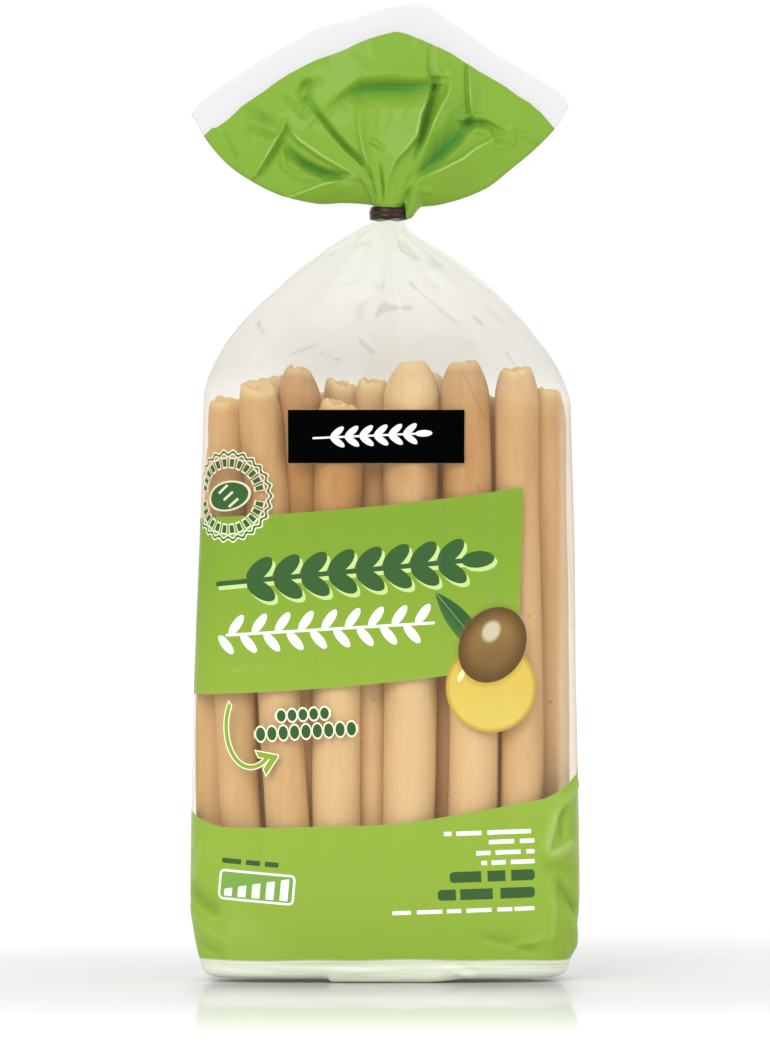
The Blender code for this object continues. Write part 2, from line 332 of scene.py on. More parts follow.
def store(geometry, name, value, kind="FLOAT"):
    sockets = {"Geometry": geometry, "Name": name, "Value": value}
    return roll.node("GeometryNodeStoreNamedAttribute", {"data_type": kind}, sockets)


def wobble(place, scale, detail=2.0):
    """Noise from -1 to 1 that differs from stick to stick."""
    return place.noise(scale, detail, batch) * 2.0 - 1.0


grid = {"Size X": 1.0, "Size Y": 1.0, "Vertices X": given.out("Columns"), "Vertices Y": given.out("Rows")}
skin = roll.node("GeometryNodeMeshGrid", None, grid)
skin = store(skin, "skin", roll.node("GeometryNodeInputPosition"), "FLOAT_VECTOR")
skins = roll.node("GeometryNodeInstanceOnPoints", None, {"Points": given.out("Points"), "Instance": skin})
skins = roll.node("GeometryNodeRealizeInstances", None, {0: skins})

skin_place = stored_value("skin", "FLOAT_VECTOR")
turn = (skin_place.axis("X") + 0.5) * (2 * math.pi)
along = skin_place.axis("Y") + 0.5
head_cap = ((along - (1 - CAP_SHARE)) / CAP_SHARE).clamped()
foot_cap = ((CAP_SHARE - along) / CAP_SHARE).clamped()
rise = 1.0 - (1.0 - ((along - CAP_SHARE) / (1 - 2 * CAP_SHARE)).clamped()) ** 1.8
foot, head = stored_value("foot", "FLOAT_VECTOR"), stored_value("head", "FLOAT_VECTOR")
batch = stored_value("batch")
length = head.axis("Z") - foot.axis("Z")
to_head, to_foot = (1.0 - rise) * length, rise * length
side_x, side_y = turn.cosine(), turn.sine()

near_head = to_head.within(stored_value("taper"))
rim = to_head.within(RIM_REACH)
heel = to_foot.within(HEEL_REACH)
width = 1.0 - (1.0 - stored_value("head_share")) * near_head ** 1.7
width = width * (1.0 - 0.14 * rim * rim) * (1.0 - 0.35 * heel * heel)
dough_place = roll.vector(side_x * 0.35, side_y * 0.35, to_foot * 60.0)
lumps = given.out("Lumps") * wobble(dough_place, 0.9) + given.out("Dimples") * wobble(dough_place, 4.0)
lumps = lumps * (1.0 + 1.1 * near_head)
width = width * (1.0 - (1.0 - stored_value("foot_share")) * (1.0 - rise))
torn_place = roll.vector(side_x * 1.2, side_y * 1.2, head_cap)
crumbs = wobble(torn_place, 3.2, 2.0) * to_head.within(CRUMB_REACH) * 0.10
reach = stored_value("radius") * width * (1.0 + lumps + crumbs) * (1.0 - head_cap) * (1.0 - foot_cap)

torn = stored_value("tear") * (wobble(torn_place, 1.4, 3.0) + 0.45 * wobble(torn_place, 5.0, 2.0))
torn = torn * to_head.within(TEAR_REACH) ** 1.5
slope = stored_value("slope", "FLOAT_VECTOR")
slanted = (slope.axis("X") * side_x + slope.axis("Y") * side_y) * reach * to_head.within(SLANT_REACH)
sunk = head_cap * (2.0 - head_cap) * HEAD_SUNK
drift = given.out("Drift") * wobble(roll.vector(0.0, 0.0, to_foot * 18.0), 1.0, 0.0)
middle = foot.times(1.0 - rise).plus(head.times(rise))
middle = middle.plus(stored_value("bow", "FLOAT_VECTOR").times((rise * math.pi).sine() * 2.0))
middle = middle.plus(stored_value("pressed", "FLOAT_VECTOR").times((1.0 - rise) ** 7.0))
on_skin = roll.vector(side_x * reach + drift, side_y * reach, torn + slanted - sunk)
rolled = roll.node("GeometryNodeSetPosition", None, {"Geometry": skins, "Position": middle.plus(on_skin)})
rolled = store(rolled, "to_head", to_head * (1.0 - head_cap))
rolled = roll.node("GeometryNodeMergeByDistance", None, {"Geometry": rolled, "Distance": 0.000002})
rolled = roll.node("GeometryNodeSetShadeSmooth", None, {"Geometry": rolled})
rolled = roll.node("GeometryNodeSetMaterial", None, {"Geometry": rolled, "Material": given.out("Dough")})
roll.node("NodeGroupOutput", None, {"Sticks": rolled})


def seen(red, green, blue):
    """A colour as the eye sees it, 0 to 255, in the linear values that a shader takes."""
    values = [channel / 255 for channel in (red, green, blue)]
    return (*(v / 12.92 if v <= 0.04045 else ((v + 0.055) / 1.055) ** 2.4 for v in values), 1.0)


def new_material(name, colour, roughness):
    """A Principled material, its shader, and a wire in its tree."""
    material = bpy.data.materials.new(name)
    material.use_nodes = True
    shader = material.node_tree.nodes["Principled BSDF"]
    shader.inputs["Base Color"].default_value = colour
    shader.inputs["Roughness"].default_value = roughness
    return material, shader, Wire(material.node_tree)


def feed(shader, name, wire):
    wire.tree.links.new(wire.socket, shader.inputs[name])


def bump(shader, height, strength, distance):
    sockets = {"Strength": strength, "Distance": distance, "Height": height}
    feed(shader, "Normal", height.node("ShaderNodeBump", None, sockets))


def painted(wire, share, under, over):
    """Colour over on colour under, as far as share says."""
    return wire.node("ShaderNodeMix", {"data_type": "RGBA"}, {0: share, 6: under, 7: over}, output=2)


dough, shader, wire = new_material("baked_dough", seen(228, 190, 132), 0.85)
place = wire.place()
long_place = place.stretched(0.45)
streaked = place.stretched(0.07)
batch = wire.stored("batch")
to_head = wire.stored("to_head")
at_foot = wire.stored("bake_and_shade_foot")
at_head = wire.stored("bake_and_shade_head")
clouds = long_place.noise(70.0, 3.0, batch).ramped(0.30, 0.70)
streaks = streaked.noise(620.0, 2.0, batch)
pits = place.noise(460.0, 1.0, batch).ramped(0.27, 0.22)
x, z = place.axis("X") * 1000, place.axis("Z") * 1000
# Painted shade: a browner, darker patch across the middle front sticks, just below the black label.
in_front = place.axis("Y").faded(-0.012, -0.004)
painted_label_shade = z.ramped(128.0, 140.0) * z.faded(151.0, 159.0) * x.ramped(-33.0, -25.0) * x.faded(12.0, 21.0)
painted_label_shade = painted_label_shade * in_front * (0.6 + clouds * 0.8)
# Tone runs from the foot's to the head's, part bake and part painted shade, plus the painted shade below
# the label.
tone = at_foot + (at_head - at_foot) * z.ramped(80.0, 150.0) + painted_label_shade * 0.62
tone = tone + (clouds - 0.5) * 0.26 + (streaks - 0.5) * 0.36
colour = painted(wire, tone, seen(224, 192, 140), seen(178, 129, 70))
# A scar down the head of one stick.
scar = abs((x - 22.5) * 0.9007 + (z - 181.0) * 0.4345 + (streaks - 0.5) * 0.6)
scar = scar.faded(0.1, 0.5) * (z - 166.0).clamped() * (183.0 - z).clamped() * in_front
colour = painted(wire, scar * 0.45, colour, seen(160, 110, 60))
colour = painted(wire, pits * 0.5, colour, seen(160, 110, 64))
# Paler round the head's rim: partly the paler crumb where the head is broken off, partly a painted
# highlight.
colour = painted(wire, to_head.within(0.0030) * 0.6, colour, seen(240, 205, 143))
feed(shader, "Base Color", colour)
grain = place.noise(520.0, 3.0, batch) - pits * 0.6 + long_place.noise(170.0, 2.0, batch) * 1.5 + streaks
bump(shader, grain, 0.25, 0.0004)

STICK_INPUTS = {
    "Columns": 45, "Rows": 62, "Lumps": 0.035, "Dimples": 0.012, "Drift": 0.0005, "Dough": dough,
}


def finished_mesh(piece, tree, values):
    """Run a Geometry Nodes tree on a piece, and leave it as a plain mesh."""
    modifier = piece.modifiers.new(tree.name, "NODES")
    modifier.node_group = tree
    for item in tree.interface.items_tree:
        if item.name in values:
            modifier[item.identifier] = values[item.name]
    evaluated = piece.evaluated_get(bpy.context.evaluated_depsgraph_get())
    mesh = bpy.data.meshes.new_from_object(evaluated)
    piece.modifiers.clear()
    piece.data = mesh


finished_mesh(breadsticks, tree, STICK_INPUTS)
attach(breadsticks, "root")
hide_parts("film_bag")

# ---------------------------------------------------------------------------------------------------
# Film body. The lower part of one tube of thin clear film, printed outside with a slanted green panel,
# a green band at the foot, a black label and small marks. It is drawn tight over the breadsticks, dips
# between them, and gathers over two crumpled shoulders into the neck.

BODY_WIDEST_Z = 0.028
BASE_TAPER = 0.0048
BASE_TAPER_POWER = 2.2
BASE_ROUND = 0.0024
BASE_LIFT = 0.0014
UPPER_TAPER = 0.0033
UPPER_TAPER_POWER = 1.3
SHOULDER_Z = 0.171
SHOULDER_WIDTH_POWER = 1.7
SHOULDER_DEPTH_POWER = 1.5
SHOULDER_CORNER_POWER = 1.5
SHOULDER_PINCH = 0.40
SHOULDER_PINCH_POWER = 9
NECK_BOTTOM_Z = 0.2255
NECK_TOP_Z = 0.2302
NECK_Z = (NECK_BOTTOM_Z + NECK_TOP_Z) / 2
NECK_RADIUS = 0.0047
NECK_X = 0.0012
NECK_SHIFT_POWER = 16
# Sideways lean of the body: (z, x of its middle).
LEAN = (
    (0.090, 0.0), (0.130, 0.0006), (0.170, 0.0006), (0.180, 0.0), (0.190, -0.0006), (0.198, -0.0007),
    (0.207, -0.0003), (0.212, -0.0004), (0.217, -0.0011), (0.220, -0.0013), (0.2225, -0.0010),
    (0.2255, 0.0),
)
PLEAT_DEPTH = 0.085
# Pleats under the neck: (waves round the bag, phase, share of the depth).
PLEATS = ((9, 0.8, 0.6), (17, 2.1, 0.4))
STICK_DIP = 0.0009
STICK_TOP_Z = 0.178
BODY_COLUMNS = 360
BODY_ROWS = 250
SECTION_SAMPLES = 3000

# Creases: u and z of both ends, rise of the crease (below 0 it is a valley), and the film's width on
# its left and on its right (looking along it), all in millimetres.
BODY_CREASES = (
    # The lower corners.
    (-64.0, 27.0, -50.0, 20.0, -2.0, 7.0, 1.6),
    (-64.0, 22.5, -46.0, 12.5, 0.7, 2.0, 7.0),
    (-58.0, 12.0, -50.0, 8.5, -0.9, 2.0, 2.0),
    (-56.0, 42.0, -59.0, 28.0, 0.9, 3.0, 2.0),
    (62.0, 59.5, 51.0, 50.0, 1.1, 1.8, 5.0),
    (51.0, 50.0, 48.0, 38.5, 1.5, 1.6, 4.0),
    (48.5, 37.8, 57.5, 42.0, 1.5, 1.8, 5.0),
    (54.0, 52.0, 53.0, 42.5, -1.2, 2.4, 2.0),
    (47.5, 34.5, 60.0, 33.0, -1.0, 2.0, 6.0),
    (52.0, 30.0, 61.0, 21.0, -1.8, 2.2, 6.0),
    (51.0, 28.0, 50.0, 12.0, 0.9, 1.4, 3.4),
    (56.0, 22.0, 63.0, 9.0, 1.3, 3.5, 3.5),
    (29.0, 13.4, 44.0, 9.0, -1.1, 3.4, 1.3),
    (36.0, 10.5, 47.0, 13.5, 0.9, 1.2, 2.6),
    (57.0, 120.0, 60.0, 58.0, 0.6, 2.0, 2.0),
    (56.0, 150.0, 58.5, 118.0, -0.5, 2.0, 2.0),
    (-57.0, 138.0, -60.0, 100.0, 0.5, 2.0, 2.0),
    # The panel, over the sticks.
    (-52.0, 92.0, -20.0, 97.0, -0.25, 4.0, 2.0),
    (-48.0, 120.0, -44.0, 86.0, 0.3, 2.0, 3.0),
    # The base seal, folded flat.
    (-30.0, 5.6, 30.0, 5.2, -0.7, 0.7, 0.9),
    (-17.0, 3.9, 25.0, 3.7, 0.6, 0.6, 0.7),
    (-15.0, 2.6, 12.0, 2.2, -0.5, 0.6, 0.6),
    (17.5, 4.2, 26.0, 1.8, 0.8, 1.4, 0.5),
    (22.5, 5.4, 28.0, 3.4, -0.7, 0.6, 1.2),
    (34.0, 5.8, 52.0, 4.8, -0.4, 0.8, 1.2),
    (-52.0, 5.2, -33.0, 4.2, -0.4, 0.8, 1.2),
    # The shoulders.
    (-28.5, 185.4, -19.0, 188.8, -0.9, 0.9, 1.8),
    (-24.0, 185.4, -14.0, 185.2, 0.6, 1.6, 1.4),
    (-19.0, 186.4, -12.6, 183.6, -1.3, 0.8, 1.4),
    (-7.2, 190.3, -2.5, 185.6, -1.0, 1.4, 2.2),
    (6.5, 207.6, 23.5, 194.0, -0.9, 3.2, 0.9),
    (10.0, 206.5, 24.0, 196.5, 0.5, 3.0, 3.0),
    (-2.5, 196.6, 0.8, 202.2, -0.8, 1.0, 2.6),
    (-1.0, 199.4, 9.4, 199.6, -0.9, 2.6, 3.0),
    (5.5, 218.4, 17.5, 210.8, -1.0, 4.5, 1.4),
    (-4.2, 208.8, 0.7, 204.4, -0.7, 0.9, 1.6),
    (-38.0, 196.0, -35.4, 191.6, -1.2, 1.2, 1.6),
    (26.6, 197.4, 30.0, 194.4, -1.0, 1.2, 1.8),
    (36.2, 187.0, 39.6, 181.0, -1.1, 0.9, 1.6),
    (-19.0, 216.2, -14.2, 215.6, -0.9, 1.4, 1.2),
    (-9.6, 217.8, -3.0, 220.2, -1.1, 1.2, 1.6),
    (-52.5, 179.4, -43.5, 182.2, 0.5, 1.0, 1.4),
    (4.0, 188.0, 30.0, 187.0, -0.4, 4.0, 4.5),
    (-30.0, 203.0, -12.0, 196.0, 0.6, 5.0, 5.0),
)
# Creases of the crumpled shoulders beyond those: how many, and their heights in millimetres.
LOOSE_CREASES = 150
LOOSE_CREASE_HEIGHTS = (180.0, 221.0)
CREASE_SHARPNESS = 1.35
CREASE_ENDS = 0.18


def smooth(low, high, value):
    """0 below low, 1 above high, and a smooth S between them."""
    share = np.clip((value - low) / (high - low), 0.0, 1.0)
    return share * share * (3.0 - 2.0 * share)


def crease_height(across, up, creases):
    """How far the creases carry the film out, in metres, at places given in metres."""
    height = np.zeros_like(across)
    for start_x, start_y, end_x, end_y, rise, left, right in creases:
        run_x, run_y = end_x - start_x, end_y - start_y
        length = math.hypot(run_x, run_y)
        from_x, from_y = across * 1000 - start_x, up * 1000 - start_y
        along = (from_x * run_x + from_y * run_y) / length**2
        beside = (from_y * run_x - from_x * run_y) / length
        near = np.clip(1.0 - np.abs(beside) / np.where(beside > 0.0, left, right), 0.0, 1.0)
        ends = smooth(-CREASE_ENDS, CREASE_ENDS, along) * smooth(-CREASE_ENDS, CREASE_ENDS, 1.0 - along)
        height += rise * near**CREASE_SHARPNESS * ends
    return height / 1000


def loose_creases(half_girth):
    """Short straight creases at random, most of them up the slope, as in film crushed by hand."""
    rng = np.random.default_rng(21)
    creases = []
    for z in rng.uniform(*LOOSE_CREASE_HEIGHTS, LOOSE_CREASES):
        share, length, aslant = rng.uniform(-1.0, 1.0), rng.uniform(4.0, 13.0), rng.normal(0.0, 0.8)
        end_z = z + length * math.cos(aslant)
        end_x = share * half_girth(end_z) + length * math.sin(aslant)
        rise = rng.uniform(0.10, 0.42) * rng.choice([-1.0, 1.0])
        creases.append((share * half_girth(z), z, end_x, end_z, rise, *rng.uniform(0.9, 4.0, 2)))
    return creases


def outline_row(z):
    """(half width, half depth, corner power, climb up the shoulders) of the film at height z."""
    rise = min(1.0, max(0.0, z - BODY_WIDEST_Z) / (SHOULDER_Z - BODY_WIDEST_Z))
    narrowing = UPPER_TAPER * rise**UPPER_TAPER_POWER
    under = max(0.0, 1.0 - (z - BASE_LIFT) / BASE_ROUND)
    inset = BASE_TAPER * max(0.0, 1.0 - z / BODY_WIDEST_Z) ** BASE_TAPER_POWER
    inset += BASE_ROUND * (1.0 - math.sqrt(1.0 - under * under))
    climb = min(1.0, max(0.0, z - SHOULDER_Z) / (NECK_BOTTOM_Z - SHOULDER_Z))
    pinched = 1.0 - SHOULDER_PINCH * climb**SHOULDER_PINCH_POWER
    open_width = (1.0 - climb**SHOULDER_WIDTH_POWER) * pinched
    half_width = NECK_RADIUS + (HALF_WIDTH - inset - narrowing - NECK_RADIUS) * open_width
    half_depth = HALF_DEPTH - inset - narrowing / 2
    half_depth += (NECK_RADIUS - half_depth) * climb**SHOULDER_DEPTH_POWER
    power = 2.0 + (BLOCK_POWER - 2.0) * (1.0 - climb) ** SHOULDER_CORNER_POWER
    return half_width, half_depth, power, climb


def section(half_width, half_depth, power, shares):
    """Points of a rounded outline at shares of its length, from the back's middle round by the left."""
    angle = np.linspace(0.0, 2.0 * math.pi, SECTION_SAMPLES)
    sine, cosine = np.sin(angle), np.cos(angle)
    x = -half_width * np.sign(sine) * np.abs(sine) ** (2.0 / power)
    y = half_depth * np.sign(cosine) * np.abs(cosine) ** (2.0 / power)
    run = np.concatenate([[0.0], np.cumsum(np.hypot(np.diff(x), np.diff(y)))])
    return np.interp(shares * run[-1], run, x), np.interp(shares * run[-1], run, y)


def stick_dip(x, z, half_width, leaning):
    """How far the film sinks between the sticks that lean on it, on the flat of the front or the back."""
    roundness = np.zeros_like(x)
    for foot_x, head_x, radius in zip(feet[leaning, 0], heads[leaning, 0], radii[leaning]):
        across = (x - foot_x - (head_x - foot_x) * z / STICK_TOP_Z) / radius
        roundness = np.maximum(roundness, np.sqrt(np.clip(1.0 - across * across, 0.0, 1.0)))
    flat_part = 1.0 - smooth(half_width - 0.014, half_width - 0.006, np.abs(x))
    return STICK_DIP * (1.0 - roundness) * flat_part * smooth(0.020, 0.050, z) * smooth(0.178, 0.156, z)


def body_surface(shares, heights):
    """Rows of points of the tight film, before its creases: rows x columns x 3, and their climb."""
    rows, climbs = [], []
    for z in heights:
        half_width, half_depth, power, climb = outline_row(z)
        x, y = section(half_width, half_depth, power, shares)
        at_neck = climb**NECK_SHIFT_POWER
        middle = NECK_X * at_neck + np.interp(z, *zip(*LEAN))
        angle = 2.0 * math.pi * shares
        wave = sum(share * np.cos(waves * angle + phase) for waves, phase, share in PLEATS)
        swell = 1.0 + PLEAT_DEPTH * wave * climb * climb * (1.0 - smooth(0.9, 1.0, climb))
        in_front = stick_dip(x, z, half_width, held)
        y = np.where(y < 0.0, y + in_front, y - stick_dip(x, z, half_width, sizes[:, 1] > 0.01))
        rows.append(np.column_stack([middle + x * swell, y * swell, np.full(len(x), z)]))
        climbs.append(climb)
    return np.array(rows), np.array(climbs)


def outward(surface):
    """Unit normals of a closed grid of rows and columns."""
    around = np.roll(surface, -1, axis=1) - np.roll(surface, 1, axis=1)
    upwards = np.gradient(surface, axis=0)
    normals = np.cross(around, upwards)
    return normals / np.maximum(np.linalg.norm(normals, axis=2, keepdims=True), 1e-12)


def tube_faces(rows, columns, first=0):
    """Quads between each ring and the next one up, facing out."""
    low = first + np.arange(rows - 1)[:, None] * columns + np.arange(columns)[None]
    following = first + np.arange(rows - 1)[:, None] * columns + (np.arange(columns)[None] + 1) % columns
    return np.stack([low, following, following + columns, low + columns], axis=2).reshape(-1, 4).tolist()


def film_piece(name, vertices, faces, values, material):
    """A smooth mesh piece with a value stored on every vertex for its print."""
    mesh = bpy.data.meshes.new(name)
    mesh.from_pydata(vertices.reshape(-1, 3).tolist(), [], faces)
    mesh.shade_smooth()
    for key, stored in values.items():
        attribute = mesh.attributes.new(key, "FLOAT", "POINT")
        attribute.data.foreach_set("value", np.asarray(stored, dtype=np.float32).ravel())
    mesh.materials.append(material)
    piece = bpy.data.objects.new(name, mesh)
    bpy.context.scene.collection.objects.link(piece)
    return piece


# Print, laid out on the flat film: u is the way round from the front's middle, v the height, in mm.
PANEL_GREEN = seen(142, 173, 57)
DARK_GREEN = seen(52, 92, 44)
PALE_GREEN = seen(196, 220, 140)
PALE_YELLOW = seen(240, 243, 214)
WHITE_INK = seen(244, 246, 238)
BLACK_INK = seen(4, 4, 4)
OIL_GOLD = seen(214, 186, 84)
OIL_SHADE = seen(188, 152, 52)
OIL_LIGHT = seen(217, 195, 96)
OLIVE_BROWN = seen(143, 112, 62)
CLEAR_FILM = seen(226, 225, 209)
INK_EDGE = 0.10

printed_film, shader, wire = new_material("printed_clear_film", CLEAR_FILM, 0.32)
flat_place = wire.node("ShaderNodeUVMap", {"uv_map": "print"})
u, v = flat_place.axis("X") * 1000, flat_place.axis("Y") * 1000


def hypotenuse(a, b):
    return (a * a + b * b) ** 0.5


def inked(depth):
    """1 where a shape's depth, in mm from its edge, is above 0."""
    return (depth / INK_EDGE + 0.5).clamped()


def turned(s, t, middle_s, middle_t, degrees):
    """The same place measured along and across a line through a point."""
    cosine, sine = math.cos(math.radians(degrees)), math.sin(math.radians(degrees))
    s, t = s - middle_s, t - middle_t
    return s * cosine + t * sine, t * cosine - s * sine


def oval(s, t, half_long, half_wide):
    return (1.0 - hypotenuse(s / half_long, t / half_wide)) * half_wide


def bar(s, t, half_long, half_wide, corner):
    past_s = (abs(s) - (half_long - corner)).most(0.0)
    past_t = (abs(t) - (half_wide - corner)).most(0.0)
    return corner - hypotenuse(past_s, past_t)


def repeated(s, pitch):
    """The place in a cell of a row that repeats, from the cell's middle."""
    return (s.math("FRACT", s / pitch) - 0.5) * pitch


def grain_ear(s, t, pitch, pairs, grain, spread, lean):
    """A stalk that starts at s = 0, with pairs of grains up it and one at its end."""
    long, wide = grain
    first = pitch * 1.2
    last = first + pitch * pairs
    along, beside = turned(repeated(s - first, pitch), abs(t) - spread, 0.0, 0.0, lean)
    grains = oval(along, beside, long, wide).least(pitch * pairs / 2 - abs(s - (first + last) / 2))
    tip = oval(s - (last + 0.75 * long), t, long, wide)
    stalk = bar(s - last / 2, t, last / 2, wide * 0.3, wide * 0.3)
    return grains.most(tip).most(stalk)


def leaf_spray(s, t, pitch, leaves, leaf, lean):
    """A stalk with leaves that stand above and below it in turn."""
    long, wide = leaf
    below = (t * -50.0).clamped()
    along, beside = turned(repeated(s + below * (pitch / 2), pitch), abs(t), 0.0, long * 0.8, lean)
    shape = oval(along, beside, long, wide)
    shape = shape.least(pitch * leaves / 2 - abs(s + below * (pitch / 2) - pitch * leaves / 2))
    return shape.most(bar(s - pitch * leaves / 2, t, pitch * leaves / 2, wide * 0.3, wide * 0.3))


def words(s, t, length, height, seed):
    """A row of plain dashes of uneven length."""
    uneven = (s * 1.3 + seed).sine() + (s * 0.83 + seed * 2.0).sine()
    return bar(s, t, length / 2, height / 2, height / 3).least((uneven + 1.1) * 0.6)


# The layers of ink, from the lowest to the top one: (mask, colour).
layers = []


def print_layer(depth, colour):
    layers.append((inked(depth), colour))


panel_top = 140.9 + u * 0.1035 + u * u * 0.00068
panel_bottom = 88.64 + u * 0.1019 + u * u * 0.00071
panel = (panel_top - v).least(v - panel_bottom).least(39.5 + (v - 115.0) * 0.02 - u)
print_layer(panel, PANEL_GREEN)
layers.append((inked(panel) * v.ramped(70.0, 140.0) * 0.95, seen(122, 157, 44)))
band_wave = (u.most(-35.0).least(60.0) + 35.0) * (2 * math.pi / 325.0)
band_top = 54.3 - band_wave.cosine() * 9.8 + (-u).ramped(46.0, 66.0) * 4.8 + u.ramped(46.0, 68.0) * 7.0
band_top = band_top - (-u).ramped(72.0, 104.0) * 4.6 - u.ramped(71.0, 112.0) * 10.0
band_top = band_top + (-u).ramped(115.0, 160.0) * 9.0 + (-u).ramped(-8.0, 26.0) * 1.5
foot_edge = 6.9 + (u * 0.21).sine() * 0.12 + (u * 0.073 + 1.0).sine() * 0.15
print_layer((band_top - v).least(v - foot_edge), PANEL_GREEN)

# Black label with a white ear of wheat.
black_label = inked(bar(u + 3.2, v - 161.1, 26.05, 7.9, 0.15))
layers.append((black_label, BLACK_INK))
s, t = turned(u, v, -22.0, 160.6, 2.5)
print_layer(grain_ear(s, t, 4.3, 6, (2.5, 0.95), 1.35, 38.0), WHITE_INK)

# The large dark ear with its pale shadow, and the white spray of leaves under it.
for shift_u, shift_v, colour in ((0.9, -1.1, PALE_GREEN), (0.0, 0.0, DARK_GREEN)):
    s, t = turned(u, v, -51.0 + shift_u, 117.6 + shift_v, 5.4)
    print_layer(grain_ear(s, t, 8.1, 8, (4.9, 2.45), 3.0, 38.0), colour)
s, t = turned(u, v, -47.5, 102.6, 3.4)
print_layer(leaf_spray(s, t, 6.9, 9, (3.5, 1.35), 52.0), WHITE_INK)

# Badge: a scalloped ring, a ring of dashes, and a loaf with three cuts.
badge_u, badge_v = u + 47.2, v - 143.6
badge_radius = hypotenuse(badge_u, badge_v)
badge_turn = badge_u.math("ARCTAN2", badge_v, badge_u)
scallop = 0.33 - abs(badge_radius - 12.6 - (badge_turn * 26.0).cosine() * 0.45)
dash = (1.15 - abs(badge_radius - 9.8)).least((badge_turn * 26.0).cosine() * 0.9 + 0.15)
dash = dash.least(abs(badge_turn.sine()) * 12.0 - 2.0)
loaf = oval(*turned(badge_u, badge_v, 0.0, 0.0, 12.0), 6.3, 3.9)
s, t = turned(badge_u, badge_v, 0.0, 0.0, -50.0)
slashes = (0.35 - abs(repeated(s + 1.3, 2.6))).least(1.9 - abs(t)).least(3.4 - abs(s))
for mark in (scallop, dash, loaf):
    layers.append((inked(mark + 0.5) * 0.85, PALE_YELLOW))
for mark in (scallop, dash, loaf.least(-slashes)):
    print_layer(mark, DARK_GREEN)

# Two rows of small grains, and the arrow that curls down to them.
for start_u, start_v, pitch, grains, tall in ((-32.2, 78.8, 3.2, 5, 1.7), (-38.4, 73.4, 3.36, 9, 2.0)):
    s, t = turned(u, v, start_u, start_v, 3.5)
    row = oval(repeated(s, pitch), t, pitch * 0.40, tall)
    row = row.least((pitch * grains / 2 - 0.25) - abs(s - pitch * grains / 2))
    print_layer(row + 0.55, PALE_YELLOW)
    print_layer(row, DARK_GREEN)
arc_u, arc_v = u + 39.6, v - 75.8
round_arc = hypotenuse(arc_u / 7.5, arc_v / 12.0)
off_arc = (round_arc - 1.0) * round_arc / hypotenuse(arc_u / 56.25, arc_v / 144.0)
arc = (0.55 - abs(off_arc)).least(-1.2 - arc_u * 0.806 - arc_v * 0.593)
s, t = turned(u, v, -31.8, 67.05, 23.0)
barb = (0.78 - abs(abs(t) + s * 0.664 + 0.60) * 0.833).least(s + 5.2).least(0.2 - s)
arrow = arc.most(barb)
print_layer(arrow + 0.36, PALE_YELLOW)
print_layer(arrow, seen(138, 166, 52))

# A pool of oil, and over it a leaf and a plump fruit.
pool = oval(u - 31.3, v - 87.3, 13.4, 13.3)
print_layer(pool, OIL_SHADE)
oil = painted(wire, v.ramped(74.0, 92.0), OIL_LIGHT, OIL_GOLD)
layers.append((pool.ramped(0.0, 1.6) * inked(pool), oil))
print_layer(oval(*turned(u, v, 22.6, 91.0, 62.0), 2.2, 0.8), seen(246, 236, 190))
s, t = turned(u, v, 22.6, 105.6, 130.0)
leaf = (1.0 - abs(t) / 3.3 - (s / 12.8) * (s / 12.8)) * 3.3
print_layer(leaf, seen(46, 90, 44))
layers.append((inked(leaf) * (t / 3.0).clamped(), seen(66, 112, 56)))
print_layer((0.18 - abs(t)).least(leaf), seen(106, 146, 78))
s, t = turned(u, v, 31.6, 99.8, 60.0)
fruit = oval(s, t, 11.6, 9.6)
layers.append(((fruit + 1.8).ramped(0.0, 1.8) * 0.30, seen(120, 96, 40)))
print_layer(fruit, seen(96, 70, 36))
lit = 0.5 + (s + t).ramped(-9.0, 9.0) * 0.5
layers.append((fruit.ramped(0.0, 5.0) * inked(fruit) * lit, OLIVE_BROWN))
layers.append((oval(s - 3.2, t - 2.4, 4.0, 3.1).ramped(0.0, 1.3) * 0.9, seen(206, 198, 168)))

# The back half of the panel carries rows of plain dashes; a pale table stands beside the seam.
for line in range(9):
    length = 40.0 - (line % 3) * 5.0
    print_layer(words(u + 149.0 - length / 2, v - 136.0 + line * 5.0, length, 1.7, line * 2.3), WHITE_INK)
table = bar(u - 131.0, v - 112.0, 22.0, 23.0, 1.5)
print_layer(table, WHITE_INK)
rows_of_table = (abs(repeated(v - 89.0, 5.75)) - 2.7).least(table - 1.2)
print_layer(rows_of_table, DARK_GREEN)
for line in range(7):
    length = 22.0 - (line % 3) * 4.0
    print_layer(words(u - 123.0, v - 94.7 - line * 5.75, length, 1.6, line * 1.9), DARK_GREEN)

# Small print: a pale tablet with plain bars, and rows of dashes.
s, t = turned(u, v, -37.8, 29.5, -5.0)
print_layer(words(s + 2.5, t - 6.0, 17.0, 1.5, 0.4), DARK_GREEN)
tablet = bar(s, t + 1.0, 11.4, 4.5, 1.6)
print_layer(tablet, WHITE_INK)
print_layer(tablet - 0.7, seen(120, 165, 70))
rising = bar(repeated(s + 10.4, 4.16), t + 4.0 - (s + 14.0) * 0.12, 1.2, (s + 14.0) * 0.12 + 0.6, 0.3)
print_layer(rising.least(tablet - 1.2), WHITE_INK)
for line, (left, middle) in enumerate(((17.3, 44.6), (29.5, 42.0), (26.3, 38.8), (28.3, 35.9))):
    s, t = turned(u, v, (left + 44.2) / 2, middle, 2.0)
    print_layer(words(s, t, 44.2 - left, 1.3, line * 1.7), WHITE_INK)
for left, middle in ((19.0, 31.8), (15.5, 26.6)):
    s, t = turned(u, v, (left + 44.2) / 2, middle, 2.0)
    print_layer(words(s * 0.8, t, (44.2 - left) * 0.8, 3.2, middle), DARK_GREEN)
s, t = turned(u, v, 23.1, 21.6, 2.0)
print_layer(words(s, t, 42.0, 1.2, 5.1), WHITE_INK)

paper = CLEAR_FILM
ink = 0.0
for mask, colour in layers:
    paper = painted(wire, mask, paper, colour)
    ink = mask.most(ink)
